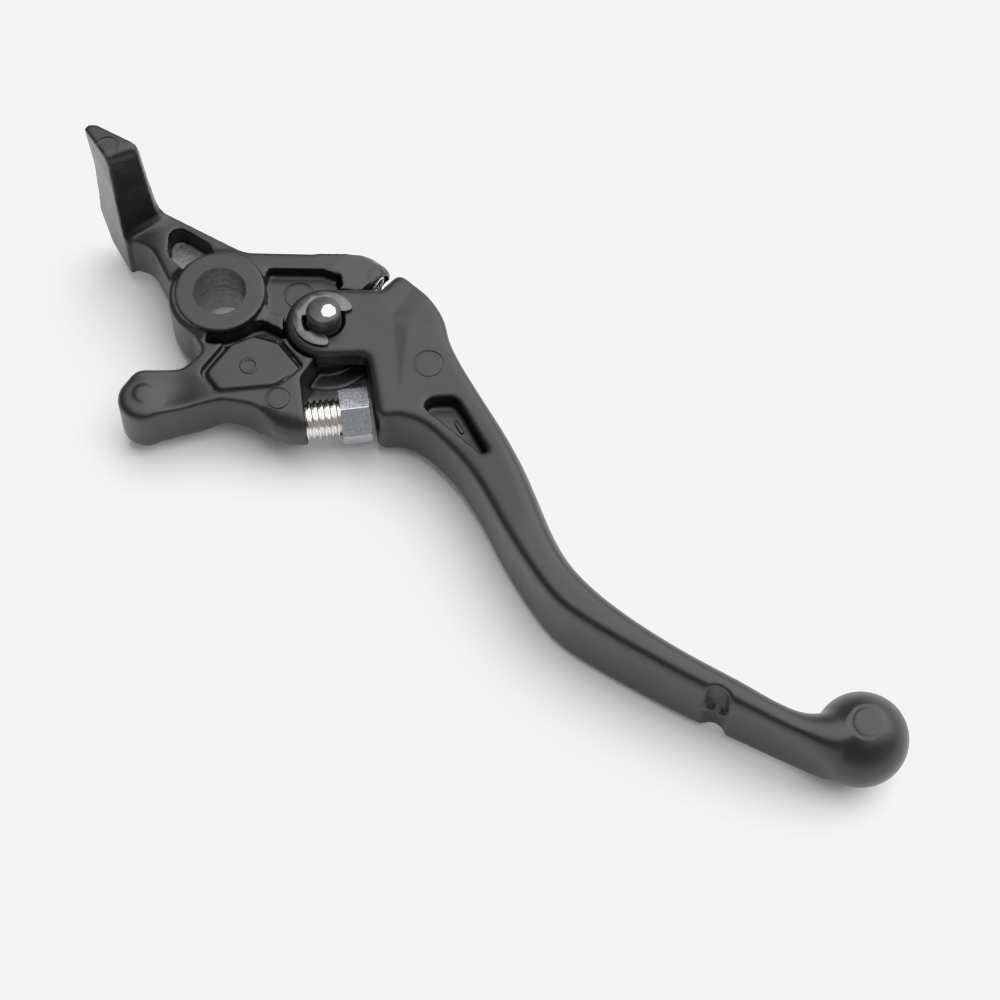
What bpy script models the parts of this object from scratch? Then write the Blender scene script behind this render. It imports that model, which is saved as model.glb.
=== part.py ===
"""Motorcycle clutch lever with a reach adjuster, as separate solids.

Frame: the origin is the middle of the pivot bore, +Z runs up the bore towards the post, and +X
runs from the bore to the middle of the ball end. The blade stands at its longest reach.
Dimensions are in millimetres and are scaled to metres where a mesh is made.
"""

import math

import bmesh
import bpy
from mathutils import Matrix, Vector

MM = 0.001
GAP = 0.3

# Base casting
BASE_HALF = 6.2
BOSS_RADIUS = 9.3
BOSS_HALF = 7.75
BORE_RADIUS = 5.25
POCKET_FLOOR = 3.2
PANEL_FLOOR = 5.4
POST_TOP = 34.2
NOSE_CENTRE = (2.7, -27.4)
NOSE_RADIUS = 5.0

# Reach pivot: blade ears over the base's tongue
PIN_CENTRE = (21.0, 7.5)
PIN_RADIUS = 3.5
PIN_STAND = 3.4
GROOVE_RADIUS = 3.0
PIN_HEAD_RADIUS = 5.2
PIN_HEAD_THICKNESS = 1.6
TONGUE_RADIUS = 7.0
TONGUE_HALF = 2.1
EAR_RADIUS = 7.9
EAR_TOP = 7.4
SLOT_HALF = 2.5
SLOT_RADIUS = 12.0
CLIP_RADIUS = 6.0
CLIP_THICKNESS = 0.7

# Adjuster: a threaded stud fixed in the base and a hexagon nut that the blade leans on
STUD_POINT = (36.7, -2.9)
STUD_ANGLE = math.radians(44.6)
STUD_RADIUS = 4.0
THREAD_PITCH = 1.25
THREAD_DEPTH = 0.6
STUD_START = -15.0
STUD_END = -0.4
LOBE_FACE = -9.8
NUT_START = -2.9
NUT_LENGTH = 6.0
NUT_FLATS = 10.0
NUT_TURN = math.radians(-12.6)

# Return spring between the base's barrel and the blade's shoulder
SPRING_AXIS_Y = 23.2
SPRING_RADIUS = 2.4
SPRING_WIRE = 0.4
SPRING_START = 15.9
SPRING_END = 25.9
SPRING_TURNS = 6
BARREL_RADIUS = 4.5
BARREL_START = 12.5
BARREL_END = 22.9
SPRING_BORE = 3.2

# Blade
BALL_CENTRE = 156.5
BALL_RADIUS = 9.15
NOTCH_CENTRE = (131.6, -13.4)
NOTCH_RADIUS = 2.8
NOTCH_WEB_HALF = 0.6
BLADE_LIMIT = 12.0

# Outline of the base plate: corner x, corner y, corner radius
BASE_OUTLINE = [
    (-23.2, 8.4, 0.5),
    (-24.2, -1.4, 0.5),
    (-19.0, 0.3, 5.0),
    (-8.0, -5.0, 0.5),
    (-3.0, -8.5, 0.5),
    (5.3, -12.0, 2.0),
    (4.6, -17.6, 3.5),
    (0.2, -22.0, 0.5),
    (2.0, -30.5, 0.5),
    (5.6, -30.6, 0.5),
    (17.5, -16.6, 6.0),
    (23.5, -16.0, 3.0),
    (27.3, -17.0, 2.0),
    (33.2, -16.4, 3.0),
    (34.5, -14.7, 0.5),
    (25.0, -5.0, 1.2),
    (24.4, 1.2, 0.6),
    (23.0, 14.0, 0.5),
    (19.5, 18.6, 0.5),
    (18.6, 25.3, 1.6),
    (16.2, 24.6, 1.0),
    (-2.7, 11.0, 8.0),
]

POCKET_A = [
    (-18.4, 6.4, 1.8),
    (-15.0, 1.0, 1.5),
    (-9.0, 0.2, 0.5),
    (-7.0, 6.8, 0.5),
    (-10.0, 8.2, 0.8),
    (-17.0, 7.8, 1.6),
]

POCKET_B = [
    (6.5, 5.5, 0.5),
    (10.4, 3.0, 0.5),
    (15.6, 4.0, 0.5),
    (20.5, 16.5, 0.5),
    (17.0, 18.6, 2.0),
    (12.7, 17.3, 1.5),
    (3.6, 10.6, 0.8),
]

PANEL_C = [
    (8.2, -5.6, 0.5),
    (11.2, -1.6, 0.8),
    (16.5, -0.6, 0.5),
    (22.3, -2.5, 0.5),
    (21.8, -9.4, 2.0),
    (13.6, -17.4, 1.2),
    (8.7, -15.9, 1.5),
]

BLADE_OUTLINE = [
    (25.86, 1.27, "corner"),
    (31.0, 5.4, "corner"),
    (32.6, 6.9, "corner"),
    (42.7, -3.2, "corner"),
    (45.8, -1.0, "smooth"),
    (50.6, 0.6, "smooth"),
    (56.0, 0.1, "smooth"),
    (63.0, -1.7, "smooth"),
    (71.0, -5.0, "smooth"),
    (80.0, -9.7, "smooth"),
    (88.0, -13.0, "smooth"),
    (96.0, -15.3, "smooth"),
    (104.0, -15.5, "smooth"),
    (118.0, -14.3, "smooth"),
    (133.0, -12.2, "smooth"),
    (147.0, -9.6, "smooth"),
    (154.0, -8.4, "corner"),
    (157.0, 3.0, "corner"),
    (150.4, 3.2, "smooth"),
    (147.6, -1.6, "smooth"),
    (142.5, -4.7, "smooth"),
    (132.0, -6.0, "smooth"),
    (120.0, -7.4, "smooth"),
    (109.0, -7.9, "smooth"),
    (100.0, -7.4, "smooth"),
    (92.0, -5.5, "smooth"),
    (85.0, -2.1, "smooth"),
    (76.0, 3.6, "smooth"),
    (66.0, 9.2, "smooth"),
    (56.0, 13.7, "smooth"),
    (48.0, 17.3, "smooth"),
    (43.0, 20.7, "smooth"),
    (39.0, 24.4, "smooth"),
    (34.0, 26.1, "smooth"),
    (27.6, 26.5, "smooth"),
    (24.9, 25.4, "smooth"),
    (24.6, 20.0, "corner"),
    (16.14, 13.73, "corner"),
]

BLADE_POCKET = [
    (48.4, 3.8, 1.2),
    (56.4, 3.2, 4.0),
    (64.8, 2.3, 0.8),
    (66.2, 4.0, 0.8),
    (56.0, 9.7, 3.0),
    (50.6, 8.9, 1.5),
]
BLADE_POCKET_DEPTH = 4.0

# Half thickness of the blade along X
BLADE_PROFILE = [(5.0, 7.4), (45.0, 7.4), (58.0, 7.6), (70.0, 8.6), (82.0, 9.6), (100.0, 9.7)]
BLADE_PROFILE += [(116.0, 9.6), (131.0, 9.1), (145.0, 8.6), (168.0, 8.6)]


def clear_scene():
    """Remove every object of the open file."""
    for old in list(bpy.data.objects):
        bpy.data.objects.remove(old, do_unlink=True)


def new_collection(name):
    """A collection linked to the scene."""
    made = bpy.data.collections.new(name)
    bpy.context.scene.collection.children.link(made)
    return made


def new_material(name, colour, roughness, metallic):
    """A Principled material of one colour."""
    made = bpy.data.materials.new(name)
    made.use_nodes = True
    shader = made.node_tree.nodes["Principled BSDF"]
    shader.inputs["Base Color"].default_value = (*colour, 1.0)
    shader.inputs["Roughness"].default_value = roughness
    shader.inputs["Metallic"].default_value = metallic
    made.diffuse_color = (*colour, 1.0)
    return made


def rounded(corners, steps=3):
    """Points of a closed outline whose corners are rounded by their own radius."""
    points = []
    for index, (x, y, radius) in enumerate(corners):
        here = Vector((x, y))
        before = Vector(corners[index - 1][:2])
        after = Vector(corners[(index + 1) % len(corners)][:2])
        back = (before - here).normalized()
        ahead = (after - here).normalized()
        half = math.acos(max(-1.0, min(1.0, back.dot(ahead)))) / 2
        reach = min(radius / math.tan(half), 0.45 * (before - here).length, 0.45 * (after - here).length)
        radius = reach * math.tan(half)
        centre = here + (back + ahead).normalized() * radius / math.sin(half)
        start = here + back * reach - centre
        turn = start.angle_signed(here + ahead * reach - centre)
        for step in range(steps + 1):
            points.append(centre + Matrix.Rotation(-turn * step / steps, 2) @ start)
    return points


def mesh_of_curve(name, data, place, collection):
    """Turn a curve into a closed mesh object at the given place."""
    guide = bpy.data.objects.new(name + "_curve", data)
    guide.matrix_world = place
    bpy.context.scene.collection.objects.link(guide)
    bpy.context.view_layer.update()
    evaluated = guide.evaluated_get(bpy.context.evaluated_depsgraph_get())
    mesh = bpy.data.meshes.new_from_object(evaluated)
    shape = bmesh.new()
    shape.from_mesh(mesh)
    bmesh.ops.remove_doubles(shape, verts=shape.verts, dist=1e-7)
    bmesh.ops.recalc_face_normals(shape, faces=shape.faces)
    shape.to_mesh(mesh)
    shape.free()
    mesh.name = name
    made = bpy.data.objects.new(name, mesh)
    made.matrix_world = place
    bpy.data.objects.remove(guide)
    collection.objects.link(made)
    return made


def plate(name, points, low, high, collection, place=None):
    """A flat outline in XY raised from low to high."""
    data = bpy.data.curves.new(name, "CURVE")
    data.dimensions = "2D"
    data.fill_mode = "BOTH"
    data.extrude = (high - low) / 2 * MM
    spline = data.splines.new("POLY")
    spline.points.add(len(points) - 1)
    for slot, (x, y) in zip(spline.points, points):
        slot.co = (x * MM, y * MM, 0.0, 1.0)
    spline.use_cyclic_u = True
    lift = Matrix.Translation((0.0, 0.0, (high + low) / 2 * MM))
    return mesh_of_curve(name, data, (place or Matrix()) @ lift, collection)


def smooth_plate(name, knots, low, high, collection, place=None, closed_by=()):
    """A flat outline through knots, curved at those that are named smooth."""
    data = bpy.data.curves.new(name, "CURVE")
    data.dimensions = "2D"
    data.fill_mode = "BOTH"
    data.extrude = (high - low) / 2 * MM
    data.resolution_u = 3
    spline = data.splines.new("BEZIER")
    knots = list(knots) + list(closed_by)
    spline.bezier_points.add(len(knots) - 1)
    for slot, (x, y, kind) in zip(spline.bezier_points, knots):
        slot.co = (x * MM, y * MM, 0.0)
        handle = "AUTO" if kind == "smooth" else "VECTOR"
        slot.handle_left_type = handle
        slot.handle_right_type = handle
    spline.use_cyclic_u = True
    lift = Matrix.Translation((0.0, 0.0, (high + low) / 2 * MM))
    return mesh_of_curve(name, data, (place or Matrix()) @ lift, collection)


def cylinder(name, radius, low, high, collection, place=None, sides=40, top=None):
    """A round bar along the Z of its place, or a cone where top gives the other radius."""
    mesh = bpy.data.meshes.new(name)
    shape = bmesh.new()
    bmesh.ops.create_cone(
        shape,
        cap_ends=True,
        segments=sides,
        radius1=radius * MM,
        radius2=(radius if top is None else top) * MM,
        depth=(high - low) * MM,
    )
    shape.to_mesh(mesh)
    shape.free()
    made = bpy.data.objects.new(name, mesh)
    lift = Matrix.Translation((0.0, 0.0, (high + low) / 2 * MM))
    made.matrix_world = (place or Matrix()) @ lift
    collection.objects.link(made)
    return made


def turned(name, profile, collection, place=None, steps=40):
    """A solid of revolution from a (radius, height) profile that runs from top to bottom."""
    mesh = bpy.data.meshes.new(name)
    verts = [(radius * MM, 0.0, height * MM) for radius, height in profile]
    mesh.from_pydata(verts, [(i, i + 1) for i in range(len(verts) - 1)], [])
    made = bpy.data.objects.new(name, mesh)
    made.matrix_world = place or Matrix()
    collection.objects.link(made)
    screw = made.modifiers.new("turn", "SCREW")
    screw.axis = "Z"
    screw.steps = steps
    screw.render_steps = steps
    screw.use_merge_vertices = True
    screw.merge_threshold = 0.000001
    screw.use_smooth_shade = True
    return made


def combine(body, tool, operation):
    """Join or cut body with tool, which becomes a hidden cutter."""
    step = body.modifiers.new(f"{operation.lower()}_{tool.name}", "BOOLEAN")
    step.operation = operation
    step.solver = "EXACT"
    step.object = tool
    tool.hide_render = True
    tool.display_type = "WIRE"


def set_origin(body, place):
    """Move an object's origin to place and leave its mesh where it is."""
    change = place.inverted() @ body.matrix_world
    body.data.transform(change)
    body.matrix_world = place


def dress(body, material):
    """Give an object its material."""
    body.data.materials.clear()
    body.data.materials.append(material)


def at(x, y, z=0.0):
    """A place with the frame's own directions."""
    return Matrix.Translation((x * MM, y * MM, z * MM))


def stud_place(distance=0.0):
    """The adjuster's axis: Z runs out of the base along the stud."""
    along = Vector((math.cos(STUD_ANGLE), math.sin(STUD_ANGLE), 0.0))
    point = Vector((*STUD_POINT, 0.0)) + along * distance
    return at(*point) @ along.to_track_quat("Z", "Y").to_matrix().to_4x4()


def barrel_place():
    """The spring's axis: Z runs along +X."""
    return at(0.0, SPRING_AXIS_Y) @ Matrix.Rotation(math.radians(90), 4, "Y")


def pad(distance):
    """A point of the post's flat face, measured along it from its lower right edge."""
    return (-23.4 + 0.9194 * distance, -1.9 - 0.3932 * distance)


def make_post(collection):
    """The upright finger, lofted through its sections from foot to top."""
    sections = [
        (-BASE_HALF, [pad(-9.3), (-31.0, 4.5), (-21.5, 8.3), (-20.0, 5.5), pad(0.0)]),
        (0.9, [pad(-13.1), (-34.4, 5.3), (-21.5, 8.4), (-19.6, 6.2), pad(0.0)]),
        (7.4, [pad(-12.2), (-33.7, 5.0), (-21.6, 8.4), (-20.2, 6.6), pad(0.0)]),
        (21.0, [pad(-10.5), (-32.3, 4.1), (-21.6, 6.8), (-20.2, 4.6), pad(0.4)]),
        (29.0, [pad(-10.5), (-32.2, 3.6), (-21.7, 5.6), (-20.0, 3.4), pad(1.1)]),
        (POST_TOP, [pad(-10.5), (-32.2, 3.3), (-21.8, 5.2), (-20.1, 2.9), pad(-0.7)]),
    ]
    mesh = bpy.data.meshes.new("post")
    shape = bmesh.new()
    rings = []
    for height, ring in sections:
        rings.append([shape.verts.new((x * MM, y * MM, height * MM)) for x, y in ring])
    for low, high in zip(rings, rings[1:]):
        for index in range(len(low)):
            after = (index + 1) % len(low)
            shape.faces.new((low[index], low[after], high[after], high[index]))
    shape.faces.new(rings[0])
    shape.faces.new(rings[-1])
    bmesh.ops.recalc_face_normals(shape, faces=shape.faces)
    shape.to_mesh(mesh)
    shape.free()
    made = bpy.data.objects.new("post", mesh)
    collection.objects.link(made)
    return made


def make_base(parts, cutters, material):
    """The casting that turns on the handlebar's pivot."""
    base = plate("base_casting", rounded(BASE_OUTLINE), -BASE_HALF, BASE_HALF, parts)
    joins = [
        cylinder("boss", BOSS_RADIUS, -BOSS_HALF, BOSS_HALF, cutters, sides=48),
        cylinder("nose", NOSE_RADIUS, -BASE_HALF, BASE_HALF, cutters, at(*NOSE_CENTRE)),
        make_post(cutters),
    ]
    for tool in joins:
        combine(base, tool, "UNION")
    pivot = at(*PIN_CENTRE)
    clearance = EAR_RADIUS + GAP + 0.1
    cuts = [
        cylinder("ear_room_top", clearance, TONGUE_HALF, 20.0, cutters, pivot),
        cylinder("ear_room_bottom", clearance, -20.0, -TONGUE_HALF, cutters, pivot),
        plate("ear_sweep_top", ear_sweep(), TONGUE_HALF, 20.0, cutters),
        plate("ear_sweep_bottom", ear_sweep(), -20.0, -TONGUE_HALF, cutters),
        plate("pocket_a", rounded(POCKET_A), POCKET_FLOOR - 1.2, 20.0, cutters),
        plate("pocket_b_top", rounded(POCKET_B), POCKET_FLOOR, 20.0, cutters),
        plate("pocket_b_bottom", rounded(POCKET_B), -20.0, -POCKET_FLOOR, cutters),
        plate("panel_c_top", rounded(PANEL_C), PANEL_FLOOR, 20.0, cutters),
        plate("panel_c_bottom", rounded(PANEL_C), -20.0, -PANEL_FLOOR, cutters),
    ]
    for tool in cuts:
        combine(base, tool, "DIFFERENCE")
    tongue = cylinder("tongue", TONGUE_RADIUS, -TONGUE_HALF, TONGUE_HALF, cutters, pivot)
    combine(base, tongue, "UNION")
    ring = cylinder("boss_ring", BOSS_RADIUS, -BOSS_HALF, BOSS_HALF, cutters, sides=48)
    combine(base, ring, "UNION")
    barrel = cylinder(
        "barrel", BARREL_RADIUS, BARREL_START, BARREL_END, cutters, barrel_place(), sides=32
    )
    combine(base, barrel, "UNION")
    bores = [
        cylinder("pivot_bore", BORE_RADIUS, -20.0, 20.0, cutters, sides=48),
        cylinder("pin_bore", PIN_RADIUS + GAP, -20.0, 20.0, cutters, pivot),
        cylinder(
            "stud_bore",
            STUD_RADIUS + GAP,
            STUD_START - GAP,
            LOBE_FACE + 3.0,
            cutters,
            stud_place(),
            sides=32,
        ),
        cylinder(
            "spring_bore",
            SPRING_BORE,
            SPRING_START - GAP,
            BARREL_END + 3.0,
            cutters,
            barrel_place(),
            sides=24,
        ),
    ]
    for tool in bores:
        combine(base, tool, "DIFFERENCE")
    dress(base, material)
    return base


def ear_sweep():
    """The room beside the clearance circle that the straight sides of the ears swing through."""
    x, y = PIN_CENTRE
    return [(x, y - 8.2), (x + 14.0, y - 3.0), (x + 14.0, y + 20.8), (x - 5.2, y + 6.6)]


def make_blade(parts, cutters, material):
    """The finger blade with its two ears, ball end and break notch."""
    arc = []
    for step in range(1, 12):
        angle = math.radians(128 + 15 * step)
        arc.append(
            (
                PIN_CENTRE[0] + EAR_RADIUS * math.cos(angle),
                PIN_CENTRE[1] + EAR_RADIUS * math.sin(angle),
                "corner",
            )
        )
    blade = smooth_plate(
        "blade_casting", BLADE_OUTLINE, -BLADE_LIMIT, BLADE_LIMIT, parts, closed_by=arc
    )
    ends = (BLADE_PROFILE[0], BLADE_PROFILE[-1])
    kinds = ["corner" if knot in ends else "smooth" for knot in BLADE_PROFILE]
    upper = [(x, z, kind) for (x, z), kind in zip(BLADE_PROFILE, kinds)]
    lower = [(x, -z, kind) for x, z, kind in reversed(upper)]
    tilt = Matrix.Rotation(math.radians(90), 4, "X")
    profile = smooth_plate("blade_profile", upper + lower, -40.0, 40.0, cutters, tilt)
    combine(blade, profile, "INTERSECT")
    ball = bpy.data.meshes.new("ball")
    shape = bmesh.new()
    bmesh.ops.create_uvsphere(shape, u_segments=28, v_segments=16, radius=BALL_RADIUS * MM)
    shape.to_mesh(ball)
    shape.free()
    ball = bpy.data.objects.new("ball", ball)
    ball.matrix_world = at(BALL_CENTRE, 0.0)
    cutters.objects.link(ball)
    combine(blade, ball, "UNION")
    pivot = at(*PIN_CENTRE)
    pocket_floor = EAR_TOP - BLADE_POCKET_DEPTH
    notch = at(*NOTCH_CENTRE)
    cuts = [
        cylinder("tongue_slot", SLOT_RADIUS, -SLOT_HALF, SLOT_HALF, cutters, pivot),
        cylinder("ear_bore", PIN_RADIUS + GAP, -20.0, 20.0, cutters, pivot),
        plate("blade_pocket_top", rounded(BLADE_POCKET), pocket_floor, 20.0, cutters),
        plate("blade_pocket_bottom", rounded(BLADE_POCKET), -20.0, -pocket_floor, cutters),
        cylinder("notch_top", NOTCH_RADIUS, NOTCH_WEB_HALF, 20.0, cutters, notch, sides=24),
        cylinder("notch_bottom", NOTCH_RADIUS, -20.0, -NOTCH_WEB_HALF, cutters, notch, sides=24),
        cylinder("web_hole", 1.2, -5.0, 5.0, cutters, at(131.2, -11.9), sides=16),
        cylinder("spring_seat", SPRING_BORE, 20.0, SPRING_END + GAP, cutters, barrel_place(), 24),
    ]
    for tool in cuts:
        combine(blade, tool, "DIFFERENCE")
    dress(blade, material)
    set_origin(blade, pivot)
    return blade


def make_pin(parts, material):
    """The hinge pin, with a head below, a groove for its clip and a chamfered end."""
    top = EAR_TOP + GAP + CLIP_THICKNESS + PIN_STAND
    groove = EAR_TOP + GAP
    under = -EAR_TOP - GAP
    profile = [
        (0.0, top),
        (PIN_RADIUS - 0.5, top),
        (PIN_RADIUS, top - 0.5),
        (PIN_RADIUS, groove + CLIP_THICKNESS + 0.3),
        (GROOVE_RADIUS, groove + CLIP_THICKNESS + 0.3),
        (GROOVE_RADIUS, groove - 0.3),
        (PIN_RADIUS, groove - 0.3),
        (PIN_RADIUS, under),
        (PIN_HEAD_RADIUS, under),
        (PIN_HEAD_RADIUS, under - PIN_HEAD_THICKNESS + 0.4),
        (PIN_HEAD_RADIUS - 0.4, under - PIN_HEAD_THICKNESS),
        (0.0, under - PIN_HEAD_THICKNESS),
    ]
    pin = turned("hinge_pin", profile, parts, at(*PIN_CENTRE))
    dress(pin, material)
    return pin


def make_clip(parts, material):
    """The E-shaped retaining clip: a ring open on one side with three inner lugs."""
    outer = CLIP_RADIUS
    inner = PIN_RADIUS + 0.6
    lug = GROOVE_RADIUS + GAP
    mouth = math.radians(-28 + 37)
    half_mouth = math.radians(44)
    centre_lug = math.pi
    outline = []
    steps = 20
    for step in range(steps + 1):
        angle = mouth + half_mouth + (2 * math.pi - 2 * half_mouth) * step / steps
        outline.append((outer * math.cos(angle), outer * math.sin(angle)))
    inside = []
    steps = 36
    for step in range(steps + 1):
        turn = half_mouth + (2 * math.pi - 2 * half_mouth) * step / steps
        from_lug = min(abs(turn - half_mouth), abs(turn - centre_lug), abs(turn - 2 * math.pi + half_mouth))
        radius = lug if from_lug < math.radians(17) else inner
        inside.append((radius * math.cos(mouth + turn), radius * math.sin(mouth + turn)))
    place = at(*PIN_CENTRE, EAR_TOP + GAP)
    clip = plate("e_clip", outline + inside[::-1], 0.0, CLIP_THICKNESS, parts, place)
    dress(clip, material)
    set_origin(clip, at(*PIN_CENTRE))
    return clip


def make_stud(parts, material):
    """The threaded stud: the thread is a stack of rings at its pitch."""
    root = STUD_RADIUS - THREAD_DEPTH
    profile = [(0.0, STUD_END), (root - 0.4, STUD_END)]
    crest = STUD_END - 0.4
    while crest - THREAD_PITCH > LOBE_FACE - 1.5:
        profile.append((root, crest))
        profile.append((STUD_RADIUS, crest - 0.45 * THREAD_PITCH))
        profile.append((STUD_RADIUS, crest - 0.55 * THREAD_PITCH))
        crest -= THREAD_PITCH
    profile += [(root, crest), (root, crest - 0.4), (STUD_RADIUS, crest - 0.9)]
    profile += [(STUD_RADIUS, STUD_START + 0.5), (STUD_RADIUS - 0.5, STUD_START), (0.0, STUD_START)]
    stud = turned("adjuster_stud", profile, parts, stud_place(), steps=24)
    dress(stud, material)
    return stud


def make_nut(parts, cutters, material):
    """The hexagon nut that runs on the stud and carries the blade."""
    corner = NUT_FLATS / 2 / math.cos(math.radians(30))
    spin = stud_place() @ Matrix.Rotation(NUT_TURN, 4, "Z")
    nut = cylinder(
        "adjuster_nut", corner, NUT_START, NUT_START + NUT_LENGTH, parts, spin, sides=6
    )
    profile = [
        (0.0, NUT_START + NUT_LENGTH + 0.2),
        (corner - 0.5, NUT_START + NUT_LENGTH + 0.2),
        (corner + 0.3, NUT_START + NUT_LENGTH - 0.4),
        (corner + 0.3, NUT_START + 0.4),
        (corner - 0.5, NUT_START - 0.2),
        (0.0, NUT_START - 0.2),
    ]
    envelope = turned("nut_envelope", profile, cutters, stud_place(), steps=36)
    combine(nut, envelope, "INTERSECT")
    bore = cylinder("nut_bore", STUD_RADIUS + GAP, -20.0, 20.0, cutters, stud_place(), sides=24)
    combine(nut, bore, "DIFFERENCE")
    dress(nut, material)
    return nut


def make_spring(parts, material):
    """The return spring, with a close turn at each end."""
    data = bpy.data.curves.new("reach_spring", "CURVE")
    data.dimensions = "3D"
    data.bevel_depth = SPRING_WIRE * MM
    data.bevel_resolution = 2
    data.use_fill_caps = True
    spline = data.splines.new("POLY")
    per_turn = 12
    count = SPRING_TURNS * per_turn
    spline.points.add(count)
    wire = 2 * SPRING_WIRE
    span = SPRING_END - SPRING_START - wire
    for index in range(count + 1):
        turn = index / per_turn
        closed = 1.1 * wire
        if turn < 1:
            along = closed * turn
        elif turn > SPRING_TURNS - 1:
            along = span - closed * (SPRING_TURNS - turn)
        else:
            along = closed + (span - 2 * closed) * (turn - 1) / (SPRING_TURNS - 2)
        angle = 2 * math.pi * turn
        x = SPRING_RADIUS * math.cos(angle)
        y = SPRING_RADIUS * math.sin(angle)
        z = SPRING_START + SPRING_WIRE + along
        spline.points[index].co = (x * MM, y * MM, z * MM, 1.0)
    spring = mesh_of_curve("reach_spring", data, barrel_place(), parts)
    dress(spring, material)
    return spring


def main():
    """Build the lever."""
    clear_scene()
    parts = new_collection("clutch_lever")
    cutters = new_collection("cutters")
    black = new_material("black_paint", (0.016, 0.016, 0.017), 0.42, 0.0)
    phosphate = new_material("dark_phosphate_steel", (0.09, 0.09, 0.095), 0.4, 0.8)
    zinc = new_material("zinc_plate", (0.62, 0.64, 0.67), 0.35, 1.0)
    nickel = new_material("nickel_plate", (0.8, 0.78, 0.74), 0.22, 1.0)
    wire = new_material("spring_steel", (0.75, 0.75, 0.76), 0.25, 1.0)
    make_base(parts, cutters, black)
    make_blade(parts, cutters, black.copy())
    make_pin(parts, phosphate)
    make_clip(parts, phosphate.copy())
    make_stud(parts, nickel)
    make_nut(parts, cutters, zinc)
    make_spring(parts, wire)


main()
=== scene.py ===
"""Clutch lever in black powder coat: the fine surface of each piece, its finishes and a studio.

Pieces are shaped in millimetres in the lever's own frame, whose origin is the middle of the pivot
bore, and are brought to metres when they are finished.
"""

import logging
import math
from collections.abc import Callable, Sequence
from dataclasses import dataclass, field
from enum import Enum

import bpy
import numpy as np
from mathutils import Matrix, Vector


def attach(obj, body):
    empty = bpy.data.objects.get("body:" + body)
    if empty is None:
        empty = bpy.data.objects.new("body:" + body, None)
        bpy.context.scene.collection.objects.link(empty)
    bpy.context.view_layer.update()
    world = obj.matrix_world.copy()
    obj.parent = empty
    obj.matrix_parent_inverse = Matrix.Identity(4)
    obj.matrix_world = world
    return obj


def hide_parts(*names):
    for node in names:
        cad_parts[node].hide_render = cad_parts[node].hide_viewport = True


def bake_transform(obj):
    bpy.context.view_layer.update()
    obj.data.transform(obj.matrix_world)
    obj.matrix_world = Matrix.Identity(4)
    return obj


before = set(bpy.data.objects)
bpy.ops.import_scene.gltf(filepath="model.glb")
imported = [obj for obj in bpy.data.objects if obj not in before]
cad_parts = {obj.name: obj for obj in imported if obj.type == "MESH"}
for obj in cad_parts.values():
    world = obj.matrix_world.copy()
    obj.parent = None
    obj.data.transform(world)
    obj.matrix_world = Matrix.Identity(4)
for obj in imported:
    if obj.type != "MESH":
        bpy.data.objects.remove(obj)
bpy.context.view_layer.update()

LOG = logging.getLogger("clutch_lever")
MM = 0.001
PIN_AXIS = (21.0, 7.5)
SPRING_LINE = 23.2
ADJUSTER_SPOT = (36.7, -2.9)
ADJUSTER_TURN = 44.6

Point = tuple[float, float]
Corner = tuple[float, float, float]
Mover = Callable[[np.ndarray], np.ndarray]


class Join(Enum):
    """How a tool changes the piece it is applied to."""

    ADD = "UNION"
    CUT = "DIFFERENCE"
    KEEP = "INTERSECT"


class Solver(Enum):
    """Which Boolean solver does the work: by faces, or the quick one for closed dense meshes."""

    FACES = "EXACT"
    DENSE = "MANIFOLD"


def at(x: float, y: float, z: float = 0.0) -> Matrix:
    """A place in the lever's frame, unturned."""
    return Matrix.Translation((x, y, z))


def adjuster_axis() -> Matrix:
    """The adjuster's axis: Z runs out of the lobe along the stud, from its middle point."""
    turn = math.radians(ADJUSTER_TURN)
    along = Vector((math.cos(turn), math.sin(turn), 0.0))
    return at(*ADJUSTER_SPOT) @ along.to_track_quat("Z", "Y").to_matrix().to_4x4()


def spring_axis() -> Matrix:
    """The return spring's axis: Z runs from the barrel to the blade's shoulder."""
    return at(0.0, SPRING_LINE) @ Matrix.Rotation(math.radians(90), 4, "Y")


def rounded(corners: Sequence[Corner], steps: int = 7) -> list[Point]:
    """Round the corners of a closed outline, each by its own radius.

    Args:
        corners: x, y and radius of each corner. A radius of 0 leaves the point as it is.
        steps: segments in each rounded corner.

    Returns:
        The outline's points, in the same order.
    """
    points: list[Point] = []
    for index, (x, y, radius) in enumerate(corners):
        if radius <= 0.0:
            points.append((x, y))
            continue
        here = Vector((x, y))
        before = Vector(corners[index - 1][:2])
        after = Vector(corners[(index + 1) % len(corners)][:2])
        back = (before - here).normalized()
        ahead = (after - here).normalized()
        half = math.acos(max(-1.0, min(1.0, back.dot(ahead)))) / 2
        reach = radius / math.tan(half)
        reach = min(reach, 0.48 * (before - here).length, 0.48 * (after - here).length)
        radius = reach * math.tan(half)
        centre = here + (back + ahead).normalized() * radius / math.sin(half)
        start = here + back * reach - centre
        turn = start.angle_signed(here + ahead * reach - centre)
        for step in range(steps + 1):
            spot = centre + Matrix.Rotation(-turn * step / steps, 2) @ start
            points.append((spot.x, spot.y))
    return points


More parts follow.
